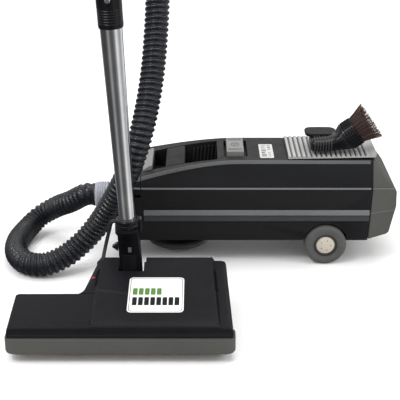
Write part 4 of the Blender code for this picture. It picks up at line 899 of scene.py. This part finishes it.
def make_nozzle():
    refine("nozzle_cover", "nozzle_black", 0.0011, 26, raised=lambda p: 0.001 * (
        abs(p.y + 0.1595) < 0.0007 and p.x > -0.1965 and p.z > 0.050))
    refine("nozzle_base", "nozzle_black", 0.0008)
    refine("nozzle_bumper", "bumper", 0.0010)
    refine("soleplate", "steel", 0.0004)
    refine("pigtail_plug", "rubber", 0.0005)
    lip = [(-0.3243, -0.1595), (-0.3243, -0.2450), (-0.3225, -0.2490), (-0.3190, -0.2508), (0.0130, -0.2508),
           (0.0165, -0.2490), (0.0184, -0.2450), (right_edge(-0.16) + 0.0006, -0.160)]
    inner = [(x + (0.0025 if x < -0.15 else -0.0025), y + (0.0025 if y < -0.2 else 0.0)) for x, y in lip]
    solid = bmesh.new()
    rows = []
    for outline, z in ((lip, 0.0424), (lip, 0.0470), (inner, 0.0478), (inner, 0.0424)):
        rows.append([solid.verts.new((x, y, z)) for x, y in outline])
    for row, after in zip(rows, rows[1:] + rows[:1]):
        for i in range(len(lip) - 1):
            solid.faces.new((row[i], row[i + 1], after[i + 1], after[i]))
    for end in (0, -1):
        solid.faces.new([row[end] for row in rows])
    bmesh.ops.recalc_face_normals(solid, faces=solid.faces)
    joined("cover_foot_lip", [solid], "nozzle_black", "machine", 0.0004)

    slots = []
    for i in range(8):
        y = -0.1010 - i * 0.0075
        slots.append(ridge_slot(y, ridge_right, 1))
        if i < 6:
            slots.append(ridge_slot(y, lambda v: RIDGE_LEFT_X, -1))
    joined("ridge_vents", slots, "void", "machine")
    edges = []
    front, rear = -0.2440, -0.0640
    bead = ((0.0052, -0.0004), (0.0052, 0.0003), (0.0040, 0.0003), (0.0036, -0.0004))
    for x0, x1, sign in ((ridge_right(front), ridge_right(rear), 1), (RIDGE_LEFT_X, RIDGE_LEFT_X, -1)):
        edges.append(loft([[(x - sign * inward, y, panel_z(y) + up) for inward, up in bead]
                           for x, y in ((x0, front), (x1, rear))]))
    joined("panel_beads", edges, "nozzle_black", "machine", 0.0001)

    low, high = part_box("nozzle_label")
    rise = Vector((0, 1, PANEL_SLOPE)).normalized()
    lift = Vector((0, -rise.z, rise.y))
    middle = Vector(((low.x + high.x) / 2, (low.y + high.y) / 2, panel_z((low.y + high.y) / 2)))

    def on_panel(points, height):
        return [middle + Vector((x, 0, 0)) + rise * y + lift * height for x, y in points]

    half_x, half_y = (high.x - low.x) / 2, (high.y - low.y) / 2 / rise.y
    card = rounded_plan(-half_x, -half_y, half_x, half_y, 0.007)
    joined("label_card", [loft([on_panel(card, 0.0), on_panel(card, 0.0010)])], "label", "machine", 0.0002)
    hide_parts("nozzle_label")
    outer, inner = [rounded_plan(-half_x + d, -half_y + d, half_x - d, half_y - d, 0.0055)
                    for d in (0.0022, 0.0030)]
    border = loft([on_panel(outer, 0.0009), on_panel(outer, 0.00112), on_panel(inner, 0.00112),
                   on_panel(inner, 0.0009)], caps=False)
    joined("label_border", [border], "mark_dark", "machine")
    for name, count, y0, y1, look in (("upper", 5, -0.001, 0.0165, "mark_green"),
                                      ("lower", 8, -0.0285, -0.0075, "mark_dark")):
        plans = [rounded_plan(x, y0, x + 0.0072, y1, 0.0016) for x in [-0.0365 + i * 0.0094 for i in range(count)]]
        blocks = [loft([on_panel(plan, 0.0009), on_panel(plan, 0.00113)]) for plan in plans]
        joined("label_blocks_" + name, blocks, look, "machine")

    for side in ("left", "right"):
        refine("nozzle_wheel_" + side, "rubber", 0.0005)
    refine("reset_button", "red", 0.0003)
    gland = [(0.0034, 0.0), (0.0085, 0.0), (0.0088, 0.003)]
    for i in range(5):
        d, r = 0.0038 + i * 0.0031, 0.0076 - i * 0.0006
        gland += [(r, d), (r, d + 0.0019), (r - 0.0013, d + 0.0022), (r - 0.0013, d + 0.0030)]
    gland += [(0.0046, 0.0198), (0.0034, 0.0198)]
    lathe("gland_sleeve", gland, (-0.1955, -0.0597, 0.0680), (0, 1, 0), "rubber", "machine", ["pigtail_gland"],
          40, 0.0002)


def ridge_slot(y, ridge, sign):
    """One dark vent on the step between the shoulder and the raised panel."""
    x = ridge(y)
    low, high = shoulder_z(y), panel_z(y)
    section = [(x + sign * out, z) for out, z in (
        (-0.0048, high + 0.0003), (-0.0028, high + 0.0004), (0.0016, low + 0.0006), (0.0010, low - 0.001),
        (-0.0048, high - 0.002))]
    return prism(section, "Y", y - 0.0018, y + 0.0018)


# ---------------------------------------------------------------- wand, neck and handle

def on_wand(along, across=0.0, forward=0.0):
    """World point beside the wand: distance along it, to +X and towards -Y."""
    return PIVOT + Matrix.Rotation(-LEAN, 3, "Y") @ Vector((across, -forward, along))


UP_WAND = Matrix.Rotation(-LEAN, 3, "Y") @ Vector((0, 0, 1))


def squircle(count, square):
    """Unit outline between a circle, at a square of 2, and a box."""
    points = []
    for k in range(count):
        c, s = math.cos(2 * math.pi * k / count), math.sin(2 * math.pi * k / count)
        radius = 1 / (abs(c) ** square + abs(s) ** square) ** (1 / square)
        points.append((radius * c, radius * s))
    return points


def ridges(count, start, pitch, crest, root, crest_end, root_start, root_end):
    """Profile of rings round a sleeve: two radii, and three lengths from where each ring starts."""
    points = []
    for d in [start + i * pitch for i in range(count)]:
        points += [(crest, d), (crest, d + crest_end), (root, d + root_start), (root, d + root_end)]
    return points


def make_neck():
    def ring(along, half_x, half_y, square):
        return [PIVOT + Vector((half_x * x - math.tan(LEAN) * along, half_y * y, along))
                for x, y in squircle(72, square)]

    stations = [(-0.0083, 0.018, 0.0070, 6), (0.020, 0.018, 0.0150, 5), (0.050, 0.018, 0.0175, 4),
                (0.095, 0.0178, 0.0178, 3), (0.120, 0.0180, 0.0180, 2.2)]
    fine = []
    for (z0, *a), (z1, *b) in zip(stations, stations[1:]):
        for k in range(6):
            t = k / 6
            fine.append((z0 + (z1 - z0) * t, *[p + (q - p) * t for p, q in zip(a, b)]))
    fine.append(stations[-1])
    rings = [ring(*s) for s in fine]
    add_piece("neck_skin", to_mesh("neck_skin", loft(rings), 50), "soft_black", "wand", "neck")

    front = PIVOT.y - 0.0178
    plate = rounded_plan(-0.0125, 0.040, 0.0100, 0.0775, 0.002)
    face = loft([[(PIVOT.x + x - math.tan(LEAN) * z, y, PIVOT.z + z) for x, z in plate]
                 for y in (front + 0.002, front - 0.0003)])
    joined("neck_front_plate", [face], "soft_black", "wand", 0.0004)
    band = [(0.0150, 0.1153), (0.0186, 0.1153), (0.0189, 0.1165), (0.0186, 0.1177), (0.0150, 0.1177)]
    joined("neck_band", [turned(band, on_wand(0), UP_WAND, 64)], "soft_black", "wand")
    refine("wand_release_button", "grey", 0.0003)
    refine("tilt_release_tab", "gloss_black", 0.0004)
    refine("neck_pin", "steel", 0.0003)

    collar = [(0.0132, 0.1216), (0.0186, 0.1216), (0.0194, 0.1236), (0.0194, 0.1262), (0.0187, 0.1272),
              (0.0187, 0.1290), (0.0192, 0.1300), (0.0190, 0.1340), (0.0170, 0.1356), (0.0132, 0.1356)]
    lathe("collar_ring", collar, on_wand(0), UP_WAND, "gloss_black", "wand", ["neck_collar"], 72, 0.0005)
    hook = [on_wand(a, x) for a, x in ((0.1120, 0.0182), (0.1120, 0.0222), (0.1330, 0.0230), (0.1352, 0.0205),
                                       (0.1352, 0.0160), (0.1300, 0.0160), (0.1270, 0.0188))]
    ear = loft([[Vector((p.x, p.y - d, p.z)) for p in hook] for d in (-0.006, 0.006)])
    joined("collar_ear", [ear], "gloss_black", "wand", 0.0007)


def make_wand():
    foot, foot_r, top, top_r = 0.092, 0.0130, 0.470, 0.0172
    lower = [(foot_r - 0.0012, foot), (foot_r, foot), (foot_r, 0.130)]
    lower += [(foot_r + (top_r - foot_r) * i / 12, 0.130 + (top - 0.130) * i / 12) for i in range(1, 13)]
    lower += [(top_r - 0.0012, top), (foot_r - 0.0012, 0.130)]
    lathe("lower_tube", lower, on_wand(0), UP_WAND, "chrome", "wand", ["lower_wand"], 96, 0)
    upper = [(0.0151, 0.4706), (0.0163, 0.4706), (0.0163, 0.845), (0.0151, 0.845)]
    lathe("upper_tube", upper, on_wand(0), UP_WAND, "chrome", "wand", ["upper_wand"], 96, 0)
    sleeve = [(0.0174, 0.445), (0.0184, 0.445), (0.0190, 0.4475), (0.0192, 0.4500)]
    for z in [0.4525 + i * 0.0040 for i in range(6)]:
        sleeve += [(0.0192, z), (0.0186, z + 0.0007), (0.0186, z + 0.0015), (0.0192, z + 0.0022)]
    sleeve += [(0.0192, 0.4995), (0.0184, 0.5045), (0.0180, 0.505), (0.0166, 0.505), (0.0166, 0.4702),
               (0.0174, 0.4702)]
    lathe("coupler_sleeve", sleeve, on_wand(0), UP_WAND, "gloss_black", "wand", ["wand_coupler"], 72, 0.0003)
    refine("coupler_lock_button", "steel", 0.0004)


def make_handle():
    """Grip bent over towards the back, its switch, and the hose cuff on its end."""
    bend_foot, bend_r, bend = 0.870, 0.085, math.radians(105)
    path = [Vector((0, 0, z)) for z in spread(0.800, bend_foot, 18)]
    for k in range(1, 41):
        a = bend * k / 40
        path.append(Vector((0, bend_r * (1 - math.cos(a)), bend_foot + bend_r * math.sin(a))))
    tail = Vector((0, math.sin(bend), math.cos(bend)))
    path += [path[-1] + tail * d for d in (0.004, 0.008, 0.012, 0.016, 0.020)]
    world = [on_wand(p.z, 0.0, -p.y) for p in path]
    total = route_length(world)

    def radius(run, angle):
        end = min(1.0, run / 0.004, (total - run) / 0.004)
        waist = 0.0015 * math.sin(math.pi * max(0.0, min(1.0, (run - 0.07) / 0.155)))
        ripple = 0.00045 * (0.5 + 0.5 * math.cos(2 * math.pi * run / 0.0062)) if 0.088 < run < 0.205 else 0.0
        return (0.0194 - waist - ripple) * (0.94 + 0.06 * math.sqrt(max(0.0, end)))

    add_piece("grip_skin", tube_mesh("grip_skin", world, 48, radius), "soft_black", "wand", "handle_grip")
    refine("handle_switch", "grey", 0.0004)
    low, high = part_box("handle_switch")
    ribs = [block((low.x + 0.002, low.y - 0.0004, z), (high.x - 0.002, low.y + 0.0006, z + 0.0012))
            for z in [low.z + 0.005 + i * 0.0026 for i in range(4)]]
    joined("switch_ribs", ribs, "dark_grey", "thumb_switch", 0.0002)
    bezel = rounded_plan(-0.0085, 0.840, 0.0085, 0.876, 0.004)
    plate = loft([[on_wand(z, x, f) for x, z in bezel] for f in (0.0150, 0.0201)])
    joined("switch_bezel", [plate], "gloss_black", "wand", 0.0006)

    along = (world[-1] - world[-2]).normalized()
    cuff = [(0.0165, 0), (0.0192, 0), (0.0195, 0.004), (0.0222, 0.008)]
    cuff += ridges(6, 0.010, 0.0052, 0.0225, 0.0217, 0.0026, 0.0032, 0.0046)
    cuff += [(0.0225, 0.0430), (0.0214, 0.045), (0.0165, 0.045)]
    lathe("handle_cuff", cuff, world[-1] + along * 0.0003, along, "gloss_black", "wand", ["hose_cuff_handle"],
          72, 0.0003)


def make_machine_cuff():
    cuff = [(0.0175, 0.0), (0.0230, 0.0), (0.0232, 0.040), (0.0243, 0.042)]
    cuff += ridges(4, 0.0430, 0.0042, 0.0245, 0.0236, 0.0020, 0.0025, 0.0036)
    cuff += [(0.0243, 0.0600), (0.0215, 0.0655), (0.0175, 0.0655)]
    lathe("machine_cuff_ring", cuff, (-0.1605, CAN_Y, 0.100), (-1, 0, 0), "cuff_grey", "machine_cuff",
          ["hose_cuff_machine"], 72, 0.0003)


# ---------------------------------------------------------------- dusting brush

def make_brush():
    tilt = math.radians(36)
    middle_y, z = 0.137, 0.2005
    base = Vector((0.2270, middle_y, 0.2225))
    along = Vector((math.cos(tilt), 0, math.sin(tilt)))
    upright = Vector((-along.z, 0, along.x))

    def ring(x, half_y, low, high):
        return [Vector((x, middle_y + half_y * y, (low + high) / 2 + (high - low) / 2 * up))
                for y, up in squircle(64, 3.2)]

    def spoke_at(angle):
        return math.cos(angle) * Vector((0, 1, 0)) + math.sin(angle) * upright

    stations = [(0.1630, 0.014, z + 0.005, z + 0.017), (0.1640, 0.0195, z + 0.002, z + 0.0205),
                (0.1670, 0.0235, z + 0.0003, z + 0.0228), (0.172, 0.025, z, z + 0.0235),
                (0.184, 0.0252, z, z + 0.0243), (0.196, 0.0245, z, z + 0.0252),
                (0.202, 0.0235, z + 0.0002, z + 0.0268), (0.208, 0.0225, z + 0.001, z + 0.029)]
    rings = [ring(*s) for s in stations]
    last = [base - along * 0.0003 + 0.0245 * spoke_at(2 * math.pi * k / 64) for k in range(64)]
    for t in (0.35, 0.7):
        rings.append([p.lerp(q, t) for p, q in zip(rings[len(stations) - 1], last)])
    rings.append(last)
    add_piece("brush_body_skin", to_mesh("brush_body_skin", loft(rings), 50), "gloss_black", "dusting_brush",
              "brush_body")

    plate = rounded_plan(0.1560, middle_y + 0.001, 0.2120, middle_y + 0.042, 0.013)
    joined("brush_top_plate", [prism(plate, "Z", z + 0.0215, z + 0.0275)], "soft_black", "dusting_brush", 0.0016)
    lobes = [loft([ring(end, 0.0262, z + 0.0006, z + 0.0250) for end in (x, x + 0.0014)])
             for x in spread(0.1700, 0.1990, 7)]
    joined("brush_lobe_ribs", lobes, "dark_grey", "dusting_brush", 0.0003)

    collar = [(0, 0), (0.0250, 0), (0.0255, 0.0010)]
    collar += ridges(5, 0.0025, 0.0042, 0.0255, 0.0246, 0.0022, 0.0027, 0.0038)
    collar += [(0.0250, 0.024), (0, 0.024)]
    lathe("brush_collar", collar, base, along, "gloss_black", "dusting_brush", ["brush_ferrule"], 72, 0.0002)
    fins = []
    corners = [(0.0244, -0.0009), (0.0263, -0.0006), (0.0263, 0.0006), (0.0244, 0.0009)]
    for k in range(28):
        spoke = spoke_at(2 * math.pi * k / 28)
        side = along.cross(spoke)
        fins.append(loft([[base + along * d + spoke * r + side * w for r, w in corners] for d in (0.0040, 0.0225)]))
    joined("brush_fins", fins, "soft_black", "dusting_brush", 0.0002)
    make_tufts(base + along * 0.0240, along, spoke_at)


def make_tufts(base, along, spoke_at):
    """Hair strands that fan out from the head, each with its own tone."""
    rng = random.Random(7)
    solid = bmesh.new()
    tone = solid.verts.layers.float_color.new("strand")
    rings = [(0.0015, 6), (0.0050, 12), (0.0090, 22), (0.0130, 34), (0.0165, 52), (0.0195, 76), (0.0220, 110),
             (0.0236, 150)]
    tones = [(0.060, 0.027, 0.020), (0.034, 0.017, 0.014), (0.110, 0.060, 0.044), (0.020, 0.011, 0.011)]
    for radius, count in rings:
        for k in range(count):
            spoke = spoke_at(2 * math.pi * (k + rng.uniform(-0.4, 0.4)) / count)
            r = radius + rng.uniform(-0.0012, 0.0008)
            side = along.cross(spoke)
            reach = 0.0338 + rng.uniform(-0.0030, 0.0004) - 0.0012 * (r / 0.024) ** 2
            flare = r * (0.0345 / 0.0236) + rng.uniform(-0.0014, 0.0006)
            sway = rng.uniform(-0.0022, 0.0022)
            thick = rng.uniform(0.00042, 0.00062)
            shade = rng.choice(tones)
            rows = []
            for t in (0.0, 0.35, 0.70, 1.0):
                centre = (base + along * (reach * t - 0.001) + spoke * (r + (flare - r) * t ** 1.15)
                          + side * (sway * t * t))
                width = thick * (1 - 0.55 * t)
                row = [solid.verts.new(centre + (spoke * math.cos(b) + side * math.sin(b)) * width)
                       for b in (0, 2.094, 4.189)]
                for vert in row:
                    vert[tone] = (*[c * (0.55 + 0.65 * t) for c in shade], 1)
                rows.append(row)
            for row, after in zip(rows, rows[1:]):
                for i in range(3):
                    solid.faces.new((row[i], row[(i + 1) % 3], after[(i + 1) % 3], after[i]))
            solid.faces.new(rows[-1])
            solid.faces.new(rows[0][::-1])
    mesh = to_mesh("bristle_strands", solid, 80)
    add_piece("bristle_strands", mesh, "hair", "dusting_brush", "brush_bristles")
    core = turned([(0, 0), (0.0238, 0), (0.0300, 0.022), (0, 0.024)], base + along * 0.0002, along, 48)
    whole = to_mesh("bristle_core", core, 40)
    layer = whole.color_attributes.new("strand", "FLOAT_COLOR", "POINT")
    for item in layer.data:
        item.color = (0.018, 0.010, 0.009, 1)
    add_piece("bristle_core", whole, "hair", "dusting_brush")


# ---------------------------------------------------------------- everything else keeps its CAD form

make_canister()
make_bumper_creases()
make_deck_details()
make_running_gear()
make_nozzle()
make_neck()
make_wand()
make_handle()
make_machine_cuff()
make_brush()
declare_cords()

PLAIN = {
    "steel": ["motor_pulley"],
    "can": ["suction_motor", "suction_fan", "nozzle_motor"],
    "rubber": ["drive_belt"],
    "soft_black": ["brush_bearing_left", "brush_bearing_right", "cord_reel"],
    "paper": ["dust_bag"],
    "foam": ["exhaust_filter"],
    "wood": ["brush_roll"],
}
for look, names in PLAIN.items():
    for node_name in names:
        NODES[node_name].data.materials.clear()
        NODES[node_name].data.materials.append(M[look])
